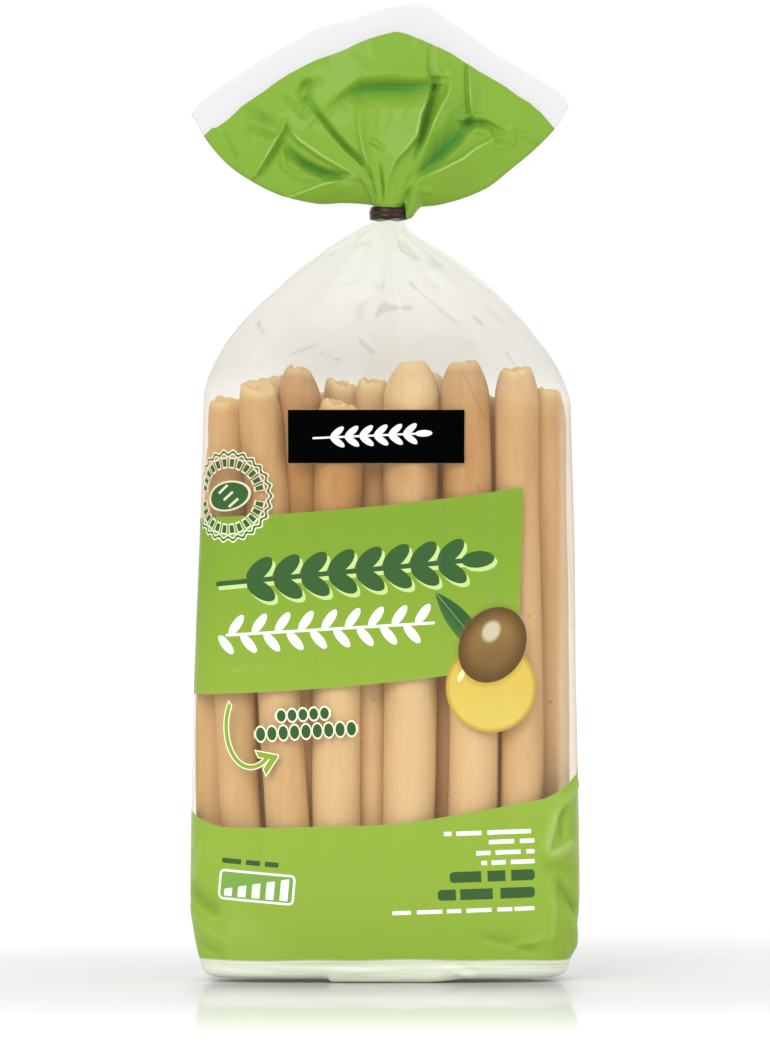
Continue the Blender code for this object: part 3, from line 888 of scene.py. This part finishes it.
# The sealed strip along the foot is milky; its paler and darker streaks are painted highlight and shade of
# its flat folds.
sealed = (v - foot_edge).faded(-0.3, 0.3)
painted_fold_streaks = wire.vector(u * 0.03, v * 1.5, 0.0).noise(1.0, 2.0).ramped(0.36, 0.64)
paper = painted(wire, sealed, paper, painted(wire, painted_fold_streaks, seen(223, 231, 205), seen(241, 246, 229)))
# Painted highlight where creases lift the print low down, and painted shade in their valleys.
relief = wire.stored("relief") * 1000
low_down = v.faded(58.0, 80.0)
paper = painted(wire, ink * low_down * relief.ramped(0.2, 1.5) * 0.40, paper, seen(186, 208, 136))
paper = painted(wire, ink * low_down * relief.faded(-1.5, -0.2) * 0.40, paper, seen(108, 146, 48))
# Bare film: painted light, warm over the sticks as if lit by them and a pale warm sheen beside
# them; painted shade just above them and in the shoulder's creases; green at the neck.
bare = 1.0 - ink
valley = relief.faded(-0.80, -0.20) * v.ramped(176.0, 184.0)
over_sticks = v.ramped(30.0, 45.0) * v.faded(166.0, 178.0)
beside = u.ramped(50.5, 53.5) * u.faded(75.0, 90.0) * over_sticks
edge_on = u.ramped(50.0, 54.0).most((-u).ramped(58.0, 62.0))
# Painted light: over the sticks the film's haze takes their warm colour; beside them a pale warm sheen,
# with more haze.
paper = painted(wire, bare * over_sticks * (1.0 - edge_on), paper, seen(216, 172, 132))
paper = painted(wire, bare * beside, paper, seen(228, 203, 172))
# Painted shade on the film just above the sticks.
above_sticks = v.ramped(174.0, 182.0) * v.faded(186.0, 206.0)
paper = painted(wire, bare * above_sticks * 0.7, paper, seen(204, 203, 188))
# Painted shade in the creases of the shoulders.
paper = painted(wire, bare * valley * 0.8, paper, seen(150, 152, 132))
paper = painted(wire, bare * v.ramped(206.0, 226.0) * 0.8, paper, seen(214, 230, 192))
feed(shader, "Base Color", paper)
# The front of the shoulders is clearer than the back, which hangs in folds.
place = wire.place()
on_shoulder = v.ramped(177.0, 190.0)
behind = place.axis("Y").ramped(0.001, 0.006) * v.ramped(164.0, 184.0)
midway = abs(place.axis("X")).faded(0.018, 0.042)
behind = behind * (0.24 + midway * 0.22 - midway * v.ramped(182.0, 204.0) * 0.16)
glancing = wire.node("ShaderNodeLayerWeight", None, {"Blend": 0.35}).out("Facing")
haze = 0.11 + (on_shoulder * 0.10).most(behind).most(beside * 0.42)
# Thicker haze at a slant, and in the shoulder's creases to carry their painted shade.
haze = haze + glancing ** 2.5 * (0.3 - on_shoulder * 0.22) + valley * on_shoulder * 0.18
feed(shader, "Alpha", haze.most(ink).most(sealed * 0.9))
# The label is dull; the rest of the film has a soft gloss.
shader.inputs["Specular IOR Level"].default_value = 0.0
shader.inputs["Coat Roughness"].default_value = 0.19
feed(shader, "Coat Weight", 0.45 - black_label * 0.45)
slack = place.noise(40.0, 2.0) * (0.3 + on_shoulder * 0.7) + place.noise(160.0, 3.0) * 0.2
bump(shader, slack, 0.8, 0.0010)

shares = np.arange(BODY_COLUMNS) / BODY_COLUMNS
heights = BASE_LIFT + (NECK_Z - BASE_LIFT) * np.linspace(0.0, 1.0, BODY_ROWS) ** 1.08
surface, climbs = body_surface(shares, heights)
girths = np.linalg.norm(np.roll(surface, -1, axis=1) - surface, axis=2).sum(axis=1)
around, up = (shares[None] - 0.5) * girths[:, None], np.tile(heights[:, None], BODY_COLUMNS)
loose = loose_creases(lambda z: np.interp(z / 1000, heights, girths) * 500)
bumps = crease_height(around, up, BODY_CREASES + tuple(loose))
surface = surface + outward(surface) * bumps[..., None]
surface[:, :, 2] = np.maximum(surface[:, :, 2], BASE_LIFT)
# The seal under the base is folded forward and shows as a flap along the front's lower edge: its two
# sloping ends in x, the height from which it hangs, and how far it reaches below the base's edge.
FLAP_LEFT = (-0.0175, -0.0155)
FLAP_RIGHT = (0.0270, 0.0120)
FLAP_TOP_Z = 0.0045
FLAP_DROP = BASE_LIFT - 0.0002
flap = smooth(*FLAP_LEFT, surface[:, :, 0]) * smooth(*FLAP_RIGHT, surface[:, :, 0])
flap = flap * (surface[:, :, 1] < 0.0)
surface[:, :, 2] -= FLAP_DROP * flap * (1.0 - smooth(BASE_LIFT, FLAP_TOP_Z, up))
faces = tube_faces(BODY_ROWS, BODY_COLUMNS)
ends = np.concatenate([around, girths[:, None] / 2], axis=1)
corner_u = np.stack([ends[:-1, :-1], ends[:-1, 1:], ends[1:, 1:], ends[1:, :-1]], axis=2)
corner_v = np.stack([up[:-1], up[:-1], up[1:], up[1:]], axis=2)
half, quarter = BODY_COLUMNS // 2, BODY_COLUMNS // 4
under = []
for column in range(quarter, 3 * quarter):
    corners = (column, column + 1, (half - column - 1) % BODY_COLUMNS, (half - column) % BODY_COLUMNS)
    under.append(list(dict.fromkeys(corners))[::-1])
body_film = film_piece("body_film", surface, under + faces, {"relief": bumps}, printed_film)
uv_layer = body_film.data.uv_layers.new(name="print")
under_corners = sum(len(face) for face in under)
corner_uv = np.column_stack([corner_u.ravel(), corner_v.ravel()])
corner_uv = np.concatenate([np.zeros((under_corners, 2)), corner_uv])
uv_layer.data.foreach_set("uv", corner_uv.astype(np.float32).ravel())
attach(body_film, "root")
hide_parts("film_bag")

# ---------------------------------------------------------------------------------------------------
# Fan. The top of the same tube, pressed flat in two layers above the neck and spread by the tape into
# sharp pleats. It is printed green, but for a clear strip along the cut edge, and hangs out a little
# over the tape on the right.

# The fan is laid out by angle from straight up, positive to +X, and by reach from the neck. Its two
# lower edges: (share of the reach, angle). Its cut edge: (angle, reach in millimetres).
FAN_LEFT_EDGE = (
    (0.0, -76.0), (0.12, -84.0), (0.30, -89.3), (0.48, -85.3), (0.75, -76.3), (0.90, -69.8), (1.0, -64.6),
)
FAN_RIGHT_EDGE = (
    (0.0, 92.0), (0.15, 94.0), (0.26, 88.2), (0.40, 82.9), (0.50, 79.3), (0.56, 75.9), (0.62, 73.2),
    (0.69, 71.0), (0.75, 69.2), (0.81, 67.4), (0.87, 65.7), (0.92, 64.2), (0.96, 62.5), (1.0, 60.4),
)
CUT_EDGE = (
    (-65.2, 65.0), (-62.4, 64.7), (-59.0, 63.2), (-55.0, 61.5), (-50.6, 59.8), (-46.1, 58.7),
    (-41.4, 57.8), (-36.2, 57.0), (-30.4, 56.5), (-25.1, 56.8), (-17.4, 56.7), (-10.0, 56.5),
    (-4.5, 57.9), (0.9, 59.2), (5.9, 60.4), (9.3, 60.7), (12.9, 60.2), (17.0, 58.1), (21.1, 57.2),
    (27.7, 55.8), (34.6, 55.1), (40.9, 55.9), (47.0, 57.5), (52.9, 59.5), (58.1, 61.7), (60.4, 61.2),
)
CUT_EDGE_ROUNDING = 1.2
FAN_ROW_POWER = 1.15
FAN_OPEN_SHARE = 0.24
FAN_HALF_DEPTHS = (0.0053, 0.0062, 0.0013)
FAN_DEEPEST_SHARE = 0.28
FAN_COLUMNS = 520
FAN_ROWS = 150
# The rings of the neck under the fan, which start a little below the middle of the tape.
NECK_ROWS = 8
NECK_OVERLAP = 0.0006
# The fan's usual reach, and how much of its folds shows at the back.
FAN_REACH = 0.057
BACK_FOLDS_SHARE = 0.8
# The small pouch that hangs over the tape: the middle and half width of its place across the fan, and
# how far it hangs in x, y and z.
DROOP_MIDDLE = 0.82
DROOP_HALF_WIDTH = 0.22
DROOP_SHIFT = (-0.0002, -0.0014, -0.0044)
# The neck's height over the edge of the print: far below it, so that the neck is green.
WELL_INSIDE_PRINT = -0.02
# Upper edge of the green print: (x from the neck, height above it) in millimetres.
PRINT_EDGE = (
    (-62.0, 16.0), (-55.4, 20.5), (-52.8, 23.1), (-51.0, 23.5), (-47.4, 26.1), (-43.8, 29.6),
    (-40.2, 32.0), (-36.7, 34.4), (-33.1, 37.1), (-29.5, 39.4), (-25.9, 41.3), (-22.4, 43.1),
    (-17.0, 44.9), (-13.4, 46.3), (-9.8, 48.1), (-6.3, 49.6), (-0.9, 51.2), (1.8, 51.8), (4.5, 51.4),
    (9.8, 49.3), (15.2, 46.9), (18.8, 45.2), (22.3, 42.8), (25.9, 40.4), (31.3, 37.4), (34.9, 35.3),
    (38.4, 32.6), (42.0, 30.6), (45.6, 27.3), (49.3, 23.1), (54.0, 18.4),
)

# Folds, each from the neck outwards or from left to right: its width on the left and on the right
# (looking along it), then the points of its line as (x from the neck, height above it, rise to the
# front), all in millimetres.
FAN_FOLDS = (
    # The deep groove right of the middle, and the ridge on each side of it.
    (1.2, 2.4, (6.6, 11.0, -0.8), (8.4, 15.9, -1.8), (9.9, 20.7, -2.6), (11.1, 26.3, -3.0),
     (12.7, 31.8, -3.0), (13.5, 36.6, -2.4), (12.0, 41.0, -1.4), (12.3, 47.0, -0.8)),
    (8.0, 1.4, (-1.8, 5.6, 0.8), (-0.8, 10.4, 1.2), (2.0, 13.6, 1.8), (5.2, 16.7, 2.2), (8.2, 20.7, 2.6),
     (9.5, 27.1, 2.8), (12.4, 33.8, 2.0)),
    (2.0, 6.0, (4.4, 8.0, 0.8), (7.5, 12.4, 2.0), (10.7, 18.3, 2.6), (13.9, 25.5, 3.0), (17.9, 33.4, 2.4),
     (18.6, 40.0, 1.0)),
    # The arch across the middle: a bright flat above, a shaded fall below.
    (10.0, 3.2, (-20.5, 27.0, 0.6), (-14.5, 33.6, 1.6), (-9.0, 38.2, 2.4), (-0.4, 39.0, 2.8),
     (10.5, 38.4, 2.0)),
    (2.2, 6.5, (-18.7, 27.9, -0.6), (-13.1, 32.2, -1.6), (-8.3, 35.0, -3.0), (-0.4, 35.4, -3.4),
     (6.0, 35.2, -3.2), (11.5, 35.6, -2.4)),
    # The thin groove left of the middle, and the dimple above it.
    (0.8, 1.8, (-5.6, 9.6, -0.8), (-9.1, 13.4, -2.2), (-12.3, 16.3, -2.8), (-16.3, 20.7, -2.8),
     (-21.9, 27.9, -2.2), (-24.5, 31.5, -1.0)),
    (2.6, 2.6, (-24.6, 27.5, -1.4), (-25.0, 31.5, -2.0), (-24.2, 35.5, -1.4)),
    (2.0, 1.6, (-26.5, 33.5, -0.8), (-24.5, 36.2, -1.6), (-20.8, 36.6, -0.8)),
    (1.4, 1.4, (-30.6, 31.8, -0.8), (-27.5, 28.5, -1.0), (-25.5, 26.6, -0.6)),
    # The lobe left of the tape: its upper ridge, the hollow under that, and the ridge below.
    (1.4, 5.5, (-9.9, 8.9, 1.0), (-13.1, 10.6, 2.0), (-19.5, 14.2, 2.6), (-26.6, 19.3, 2.8),
     (-29.0, 22.0, 1.2)),
    (2.4, 1.7, (-13.0, 8.0, -1.4), (-19.5, 9.8, -3.4), (-25.0, 12.4, -3.6), (-29.0, 15.4, -2.2),
     (-31.5, 18.5, -0.8)),
    (5.0, 1.4, (-7.5, 7.9, 0.8), (-9.9, 8.4, 1.4), (-19.5, 6.2, 2.4), (-29.8, 2.4, 1.8)),
    (1.6, 1.6, (-20.0, 7.4, 0.6), (-27.0, 8.6, 1.0), (-31.2, 11.5, 1.4), (-31.8, 16.7, 0.8)),
    # Gathers that rise from the tape.
    (1.6, 2.4, (-4.4, 2.0, 0.6), (-5.2, 6.5, 1.0), (-6.6, 11.8, 1.6), (-7.6, 15.9, 1.8), (-8.7, 21.5, 1.5),
     (-9.1, 29.8, 0.6)),
    (1.2, 1.2, (-5.8, 19.2, 1.0), (-3.4, 18.0, 1.4), (-2.0, 16.6, 0.6)),
    (1.0, 1.0, (-6.0, 0.8, -1.4), (-7.4, 4.5, -1.8), (-8.6, 7.2, -0.8)),
    (0.8, 1.0, (-3.8, 0.5, -1.2), (-4.9, 4.4, -2.0), (-5.4, 8.0, -1.8), (-6.2, 11.0, -1.0)),
    (0.8, 0.9, (-1.2, 0.5, -1.4), (-2.0, 5.0, -2.2), (-2.2, 9.6, -1.8), (-2.6, 12.5, -0.6)),
    (0.8, 0.8, (1.2, 0.5, -0.8), (0.8, 4.0, -1.2), (0.6, 7.0, -0.5)),
    (1.0, 1.0, (-0.2, 0.5, 0.7), (-0.8, 4.0, 1.0), (-1.4, 7.5, 0.5)),
    (1.2, 1.6, (4.6, 0.6, -1.4), (6.6, 3.2, -2.6), (7.2, 6.4, -1.8)),
    (1.0, 1.0, (8.3, 6.2, 0.6), (12.3, 4.0, 0.6)),
    # The wide hollow on the right, the long roll below it, and the upright crease at its end.
    (6.5, 2.2, (8.0, 8.6, -1.2), (10.7, 10.8, -2.6), (15.5, 14.8, -3.8), (20.3, 19.4, -3.8),
     (24.2, 24.6, -2.4)),
    (1.1, 3.2, (23.4, 25.1, -2.8), (28.5, 24.8, -2.4), (33.8, 21.9, -0.8)),
    (1.8, 8.5, (6.8, 7.0, 0.6), (8.3, 7.6, 1.4), (15.5, 10.4, 2.8), (21.8, 13.6, 3.4), (25.8, 16.7, 3.0),
     (31.0, 19.5, 2.0), (38.0, 21.5, 0.8)),
    (1.0, 3.6, (24.6, 27.0, 1.6), (24.0, 34.0, 1.8), (23.8, 41.5, 1.0)),
    (0.8, 0.8, (23.6, 27.5, -0.9), (23.0, 41.5, -0.9)),
    # Small facets further right.
    (1.6, 1.6, (25.8, 22.6, 1.0), (29.6, 22.2, 1.4), (31.4, 16.9, 0.6)),
    (1.0, 1.8, (36.9, 23.0, 0.8), (37.3, 17.9, 1.1), (33.5, 17.0, 0.5)),
    (1.2, 1.2, (32.5, 19.4, -0.9), (36.4, 17.6, -0.9)),
    (1.2, 1.6, (39.5, 21.4, 0.7), (44.0, 19.6, 0.7)),
    # Crumples further left.
    (3.6, 1.2, (-40.1, 8.8, 1.2), (-36.0, 15.5, 2.2), (-31.4, 23.1, 1.6)),
    (0.7, 2.0, (-38.4, 9.4, -0.9), (-34.2, 16.6, -1.6), (-30.2, 23.3, -0.9)),
    (2.4, 2.4, (-40.9, 28.0, -1.0), (-37.5, 26.0, -2.0), (-33.8, 23.9, -1.2)),
    (2.0, 1.6, (-41.0, 22.5, -1.0), (-35.5, 21.0, -1.6), (-32.5, 22.0, -0.8)),
    (1.6, 1.6, (-49.7, 21.5, 0.8), (-46.5, 15.1, 1.2), (-44.0, 10.0, 0.6)),
    (0.8, 2.2, (-48.5, 21.0, -0.8), (-45.2, 14.5, -1.2)),
)
# Small loose creases between the folds: how many, and how far from the neck in millimetres.
FAN_LOOSE_CREASES = 45
FAN_LOOSE_REACH = (14.0, 50.0)
FOLD_SHARPNESS = 1.15
# The painted highlight along a ridge's crest: its half width, its strength, and how wide a
# fold's steeper side may be to have one.
CREST_WIDTH = 0.8
CREST_STRENGTH = 1.6
CREST_WIDEST_FOLD = 3.2


def eased(value, points, rounding):
    """A line through points, with its corners rounded over a short stretch."""
    steps = np.linspace(-rounding, rounding, 7)
    return sum(np.interp(value + step, *zip(*points)) for step in steps) / len(steps)


def fan_angle(across, share):
    """Angle at a place across the fan, from -1 at its left edge to 1 at its right edge."""
    left, right = (abs(eased(share, edge, 0.04)) for edge in (FAN_LEFT_EDGE, FAN_RIGHT_EDGE))
    return across * np.where(across < 0.0, left, right)


def fold_height(across, up, folds):
    """How far folds carry the film to the front, and their lines: below 0 in a valley, for painted shade,
    above 0 on a crest, for a painted highlight.
    """
    across, up = across * 1000, up * 1000
    total, deepest, crest = np.zeros_like(across), np.zeros_like(across), np.zeros_like(across)
    for left, right, *line in folds:
        nearest = np.full_like(across, 1000.0)
        height, on_crest = np.zeros_like(across), np.zeros_like(across)
        sharpness = CREST_STRENGTH * max(0.0, 1.0 - min(left, right) / CREST_WIDEST_FOLD)
        for (x0, y0, rise0), (x1, y1, rise1) in zip(line, line[1:]):
            run_x, run_y = x1 - x0, y1 - y0
            length = math.hypot(run_x, run_y)
            along = np.clip(((across - x0) * run_x + (up - y0) * run_y) / length**2, 0.0, 1.0)
            off_x, off_y = across - x0 - along * run_x, up - y0 - along * run_y
            side = np.where(off_y * run_x - off_x * run_y > 0.0, left, right)
            away = np.hypot(off_x, off_y)
            rise = rise0 + (rise1 - rise0) * along
            here = rise * np.clip(1.0 - away / side, 0.0, 1.0) ** FOLD_SHARPNESS
            crest_here = sharpness * rise * np.clip(1.0 - away / CREST_WIDTH, 0.0, 1.0)
            height = np.where(away < nearest, here, height)
            on_crest = np.where(away < nearest, crest_here, on_crest)
            nearest = np.minimum(away, nearest)
        total += height
        deepest = np.minimum(deepest, height)
        crest = np.maximum(crest, on_crest)
    return total / 1000, (crest + deepest) / 1000


def fan_loose_creases():
    """Short straight creases at random, most of them along a line from the neck."""
    rng = np.random.default_rng(5)
    creases = []
    for reach in rng.uniform(*FAN_LOOSE_REACH, FAN_LOOSE_CREASES):
        lean, length, aslant = rng.uniform(-1.3, 1.1), rng.uniform(4.0, 12.0), rng.normal(0.0, 0.6)
        x, z = reach * math.sin(lean), reach * math.cos(lean)
        end_x, end_z = x + length * math.sin(lean + aslant), z + length * math.cos(lean + aslant)
        rise = rng.uniform(0.08, 0.30) * rng.choice([-1.0, 1.0])
        creases.append((x, z, end_x, end_z, rise, *rng.uniform(0.8, 3.0, 2)))
    return creases


def fan_rings():
    """Points of the neck and the fan, rows x columns x 3; height over the print's edge; lines of folds for
    painted shade and highlight.
    """
    quarter = 4.0 * np.arange(FAN_COLUMNS) / FAN_COLUMNS
    across = np.abs((quarter + 1.0) % 4.0 - 2.0) - 1.0
    in_front = (quarter >= 1.0) & (quarter <= 3.0)
    turn = quarter * math.pi / 2
    circle = NECK_RADIUS * np.column_stack([-np.sin(turn), np.cos(turn), np.zeros(FAN_COLUMNS)])
    start = NECK_RADIUS / FAN_REACH
    neck_deep, deepest, edge_deep = FAN_HALF_DEPTHS
    full_reach = eased(fan_angle(across, 1.0), CUT_EDGE, CUT_EDGE_ROUNDING) / 1000
    drops = np.linspace(NECK_Z - NECK_TOP_Z - NECK_OVERLAP, 0.0, NECK_ROWS)[:-1]
    rings = [circle + [0.0, 0.0, drop] for drop in drops]
    loose = fan_loose_creases()
    to_print = [np.full(FAN_COLUMNS, WELL_INSIDE_PRINT)] * (NECK_ROWS - 1)
    folded = [np.zeros(FAN_COLUMNS)] * (NECK_ROWS - 1)
    for row in range(FAN_ROWS + 1):
        share = start + (1.0 - start) * (row / FAN_ROWS) ** FAN_ROW_POWER
        angle, reach = fan_angle(across, share), share * full_reach
        half = neck_deep + (deepest - neck_deep) * smooth(0.0, FAN_DEEPEST_SHARE, share)
        half = half + (edge_deep - deepest) * smooth(FAN_DEEPEST_SHARE, 1.0, share)
        half = half * np.sqrt(1.0 - across * across)
        lean = np.radians(angle)
        x, z = reach * np.sin(lean), reach * np.cos(lean)
        folds, lines = fold_height(x, z, FAN_FOLDS)
        folds += crease_height(x, z, loose) * smooth(0.008, 0.020, reach)
        y = np.where(in_front, -half, half) - np.where(in_front, 1.0, BACK_FOLDS_SHARE) * folds
        opened = smooth(start, FAN_OPEN_SHARE, share)
        rings.append(circle * (1.0 - opened) + np.column_stack([x, y, z]) * opened)
        to_print.append(z - np.interp(x * 1000, *zip(*PRINT_EDGE)) / 1000)
        folded.append(lines * in_front)
    rings = np.array(rings)
    reaches = np.hypot(rings[..., 0], rings[..., 2])
    droop = smooth(0.0044, 0.0054, reaches) * (1.0 - smooth(0.0066, 0.0100, reaches))
    droop = droop * np.exp(-(((across[None] - DROOP_MIDDLE) / DROOP_HALF_WIDTH) ** 4)) * in_front[None]
    droop[:NECK_ROWS] = 0.0
    rings += droop[..., None] * DROOP_SHIFT
    return rings + [NECK_X, 0.0, NECK_TOP_Z], np.array(to_print), np.array(folded)


printed_fan, shader, wire = new_material("printed_fan_film", PANEL_GREEN, 0.45)
shader.inputs["Specular IOR Level"].default_value = 0.1
shader.inputs["Coat Weight"].default_value = 0.18
shader.inputs["Coat Roughness"].default_value = 0.22
to_print = wire.stored("to_print") * 1000
place = wire.place()
green = inked((place.noise(160.0, 2.0) - 0.5) * 0.5 - to_print)
# Darker teal in the fold valleys, partly the green film lying there in more layers and partly painted
# shade; a painted highlight along the crests.
folded = wire.stored("folded") * 1000
fold_shaded_green = painted(wire, (-folded).ramped(0.4, 3.8), seen(123, 163, 51), seen(82, 148, 62))
fold_shaded_green = painted(wire, folded.ramped(0.5, 2.4) * 0.6, fold_shaded_green, seen(186, 212, 136))
feed(shader, "Base Color", painted(wire, green, seen(214, 214, 214), fold_shaded_green))
feed(shader, "Alpha", green.most(0.36))
bump(shader, place.noise(150.0, 3.0), 0.2, 0.0004)

rings, to_print, folded = fan_rings()
fan_values = {"to_print": to_print, "folded": folded}
fan_film = film_piece("fan_film", rings, tube_faces(*rings.shape[:2]), fan_values, printed_fan)
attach(fan_film, "root")
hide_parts("film_bag")

# ---------------------------------------------------------------------------------------------------
# Tape. A strip of glossy dark brown tape wound twice round the gathered neck and pulled tight: the
# second turn lies a little askew on the first, its edges are wavy, and its end sticks out a step.

TAPE_INNER = NECK_RADIUS + 0.0004
TAPE_WIDTH = 0.0034
TAPE_LAYER = 0.00030
TAPE_THICKNESS = 0.00022
TAPE_TURNS = 2.15
TAPE_START = math.radians(55.0)
TAPE_STEPS = 260
TAPE_ROWS = 14

brown_tape, shader, wire = new_material("brown_tape", seen(48, 26, 22), 0.30)
shader.inputs["Specular IOR Level"].default_value = 0.3
place = wire.place()
worn = place.stretched(5.0).noise(260.0, 3.0)
feed(shader, "Base Color", painted(wire, worn.ramped(0.35, 0.7), seen(24, 12, 9), seen(54, 26, 19)))
bump(shader, worn, 0.5, 0.0003)


def strip_faces(steps, loop):
    """Faces of a strip of film whose every step is a closed loop of points, capped at both ends."""
    faces = [face[::-1] for face in tube_faces(steps, loop)]
    return faces + [list(range(loop)), [(steps - 1) * loop + corner for corner in reversed(range(loop))]]


turns = np.linspace(0.0, TAPE_TURNS, TAPE_STEPS)
across = np.linspace(-0.5, 0.5, TAPE_ROWS)
angle = TAPE_START + 2 * math.pi * turns
askew = 0.00028 * np.sin(angle * 0.5 + 0.6) + 0.00012 * np.sin(angle * 5.0)
radius = TAPE_INNER + TAPE_LAYER * (turns + 0.35)
strip = []
for thickness, shares_across in ((0.0, across), (TAPE_THICKNESS, across[::-1])):
    for share in shares_across:
        crease = 0.00010 * np.sin(share * 13.0 + 0.8 * np.sin(angle)) * (1.0 - 4.0 * share * share)
        out = radius + thickness + crease - 0.00025 * (2.0 * share) ** 4
        z = NECK_Z + askew + share * TAPE_WIDTH * (1.0 + 0.05 * np.sin(angle * 7.0))
        strip.append(np.column_stack([NECK_X + out * np.cos(angle), out * np.sin(angle), z]))
faces = strip_faces(TAPE_STEPS, 2 * TAPE_ROWS)
neck_band = film_piece("neck_band", np.stack(strip, axis=1), faces, {}, brown_tape)
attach(neck_band, "root")
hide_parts("neck_tape")

# ---------------------------------------------------------------------------------------------------
# Back seam. The two edges of the film, welded face to face up the middle of the back and folded flat:
# a band two films thick, milky from the heat, with the ribs of the sealing jaws across it.

SEAM_HALF_WIDTH = 0.0055
SEAM_THICKNESS = 0.00018
SEAM_STAND_OFF = 0.00012
SEAM_RIB_PITCH = 0.0011
SEAM_RIB_HEIGHT = 0.00010
SEAM_COLUMNS = 12
SEAM_STEPS = 900
SEAM_Z = (0.0060, 0.2180)

sealed_film, shader, wire = new_material("welded_seam_film", CLEAR_FILM, 0.25)
shader.inputs["Specular IOR Level"].default_value = 0.4
place = wire.place()
height = place.axis("Z") * 1000
ribbed = 0.34 + (height * (2 * math.pi / 1.1)).sine() * 0.10
feed(shader, "Alpha", ribbed * (1.0 - height.ramped(150.0, 182.0) * 0.85))
bump(shader, place.noise(300.0), 0.3, 0.0003)

steps_up = np.linspace(*SEAM_Z, SEAM_STEPS)
across = np.linspace(-1.0, 1.0, SEAM_COLUMNS)
near_seam = surface[:, np.arange(-7, 8), 1].max(axis=1)
behind_y = np.interp(steps_up, heights, near_seam)
narrow = 1.0 - 0.75 * smooth(0.180, 0.220, steps_up)
rib = SEAM_RIB_HEIGHT * np.sin(steps_up * 2 * math.pi / SEAM_RIB_PITCH)
band = []
for thickness, shares_across in ((0.0, across), (SEAM_THICKNESS, across[::-1])):
    for share in shares_across:
        wave = 0.0003 * np.sin(steps_up * 90.0 + 1.0)
        x = share * SEAM_HALF_WIDTH * narrow + wave
        y = behind_y + SEAM_STAND_OFF + thickness + rib * (1.0 - share * share)
        band.append(np.column_stack([x, y, steps_up]))
faces = strip_faces(SEAM_STEPS, 2 * SEAM_COLUMNS)
back_seam = film_piece("back_seam", np.stack(band, axis=1), faces, {}, sealed_film)
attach(back_seam, "root")
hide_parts("film_bag")

# ---------------------------------------------------------------------------------------------------
# Studio. A plain white floor that runs out of sight, a white room, and soft lamps in front and above.
# The camera looks straight at the front from a little over two metres, so that the sides stay upright.

bpy.ops.mesh.primitive_plane_add(size=16, location=(0, 0, 0))
floor = bpy.context.object
floor.name = "floor"
# Polished round the bag, so that it mirrors the base, and dull further out.
FLOOR_WHITE = (0.99, 0.99, 0.99, 1.0)
white_floor, shader, wire = new_material("white_floor", FLOOR_WHITE, 0.9)
place = wire.place()
from_bag = hypotenuse(place.axis("X") * 0.6, place.axis("Y"))
# The bag's own shade on the floor right in front of it.
to_front = -place.axis("Y")
shade = abs(place.axis("X")).faded(0.050, 0.061) * to_front.ramped(-0.028, 0.020)
shade = shade * to_front.faded(0.050, 0.150)
polished = from_bag.faded(0.10, 0.31) * 0.48 - shade * 0.10
feed(shader, "Base Color", painted(wire, shade * 0.42, FLOOR_WHITE, seen(160, 154, 170)))
shader.inputs["Emission Strength"].default_value = 0.14
glow = painted(wire, from_bag.ramped(0.035, 0.20), seen(0, 0, 0), seen(255, 255, 255))
feed(shader, "Emission Color", glow)
mirror = wire.node("ShaderNodeBsdfGlossy", None, {"Color": (1.0, 1.0, 1.0, 1.0), "Roughness": 0.06})
plain = Wire(wire.tree, shader.outputs[0])
both = wire.node("ShaderNodeMixShader", None, {0: polished, 1: plain, 2: mirror})
wire.tree.links.new(both.socket, wire.tree.nodes["Material Output"].inputs["Surface"])
floor.data.materials.append(white_floor)

world = bpy.data.worlds.new("white_room")
world.use_nodes = True
background = world.node_tree.nodes["Background"]
sky = Wire(world.node_tree)
seen_directly = sky.node("ShaderNodeLightPath").out("Is Camera Ray")
ROOM_LIGHT = 0.80
feed(background, "Strength", seen_directly * (1.02 - ROOM_LIGHT) + ROOM_LIGHT)
background.inputs["Color"].default_value = (1.0, 1.0, 1.0, 1.0)
bpy.context.scene.world = world

# (name, direction towards the lamp, width of its light in degrees, strength)
LAMPS = (
    ("key_lamp", (-0.45, -1.0, 0.60), 34.0, 1.15),
    ("fill_lamp", (0.80, -1.0, 0.35), 40.0, 0.35),
)
for name, towards, spread, strength in LAMPS:
    lamp = bpy.data.lights.new(name, "SUN")
    lamp.angle = math.radians(spread)
    lamp.energy = strength
    holder = bpy.data.objects.new(name, lamp)
    holder.rotation_euler = Vector(towards).to_track_quat("Z", "Y").to_euler()
    bpy.context.scene.collection.objects.link(holder)

CAMERA_DISTANCE = 2.2
VIEW_HEIGHT = 0.317
VIEW_MIDDLE_Z = 0.133
camera = bpy.data.objects.new("camera", bpy.data.cameras.new("camera"))
camera.location = (0.0, -CAMERA_DISTANCE, VIEW_MIDDLE_Z)
camera.rotation_euler = (math.pi / 2, 0.0, 0.0)
camera.data.sensor_fit = "VERTICAL"
camera.data.sensor_height = 24.0
camera.data.lens = camera.data.sensor_height * CAMERA_DISTANCE / VIEW_HEIGHT
bpy.context.scene.collection.objects.link(camera)
bpy.context.scene.camera = camera
bpy.context.scene.view_settings.view_transform = "Standard"
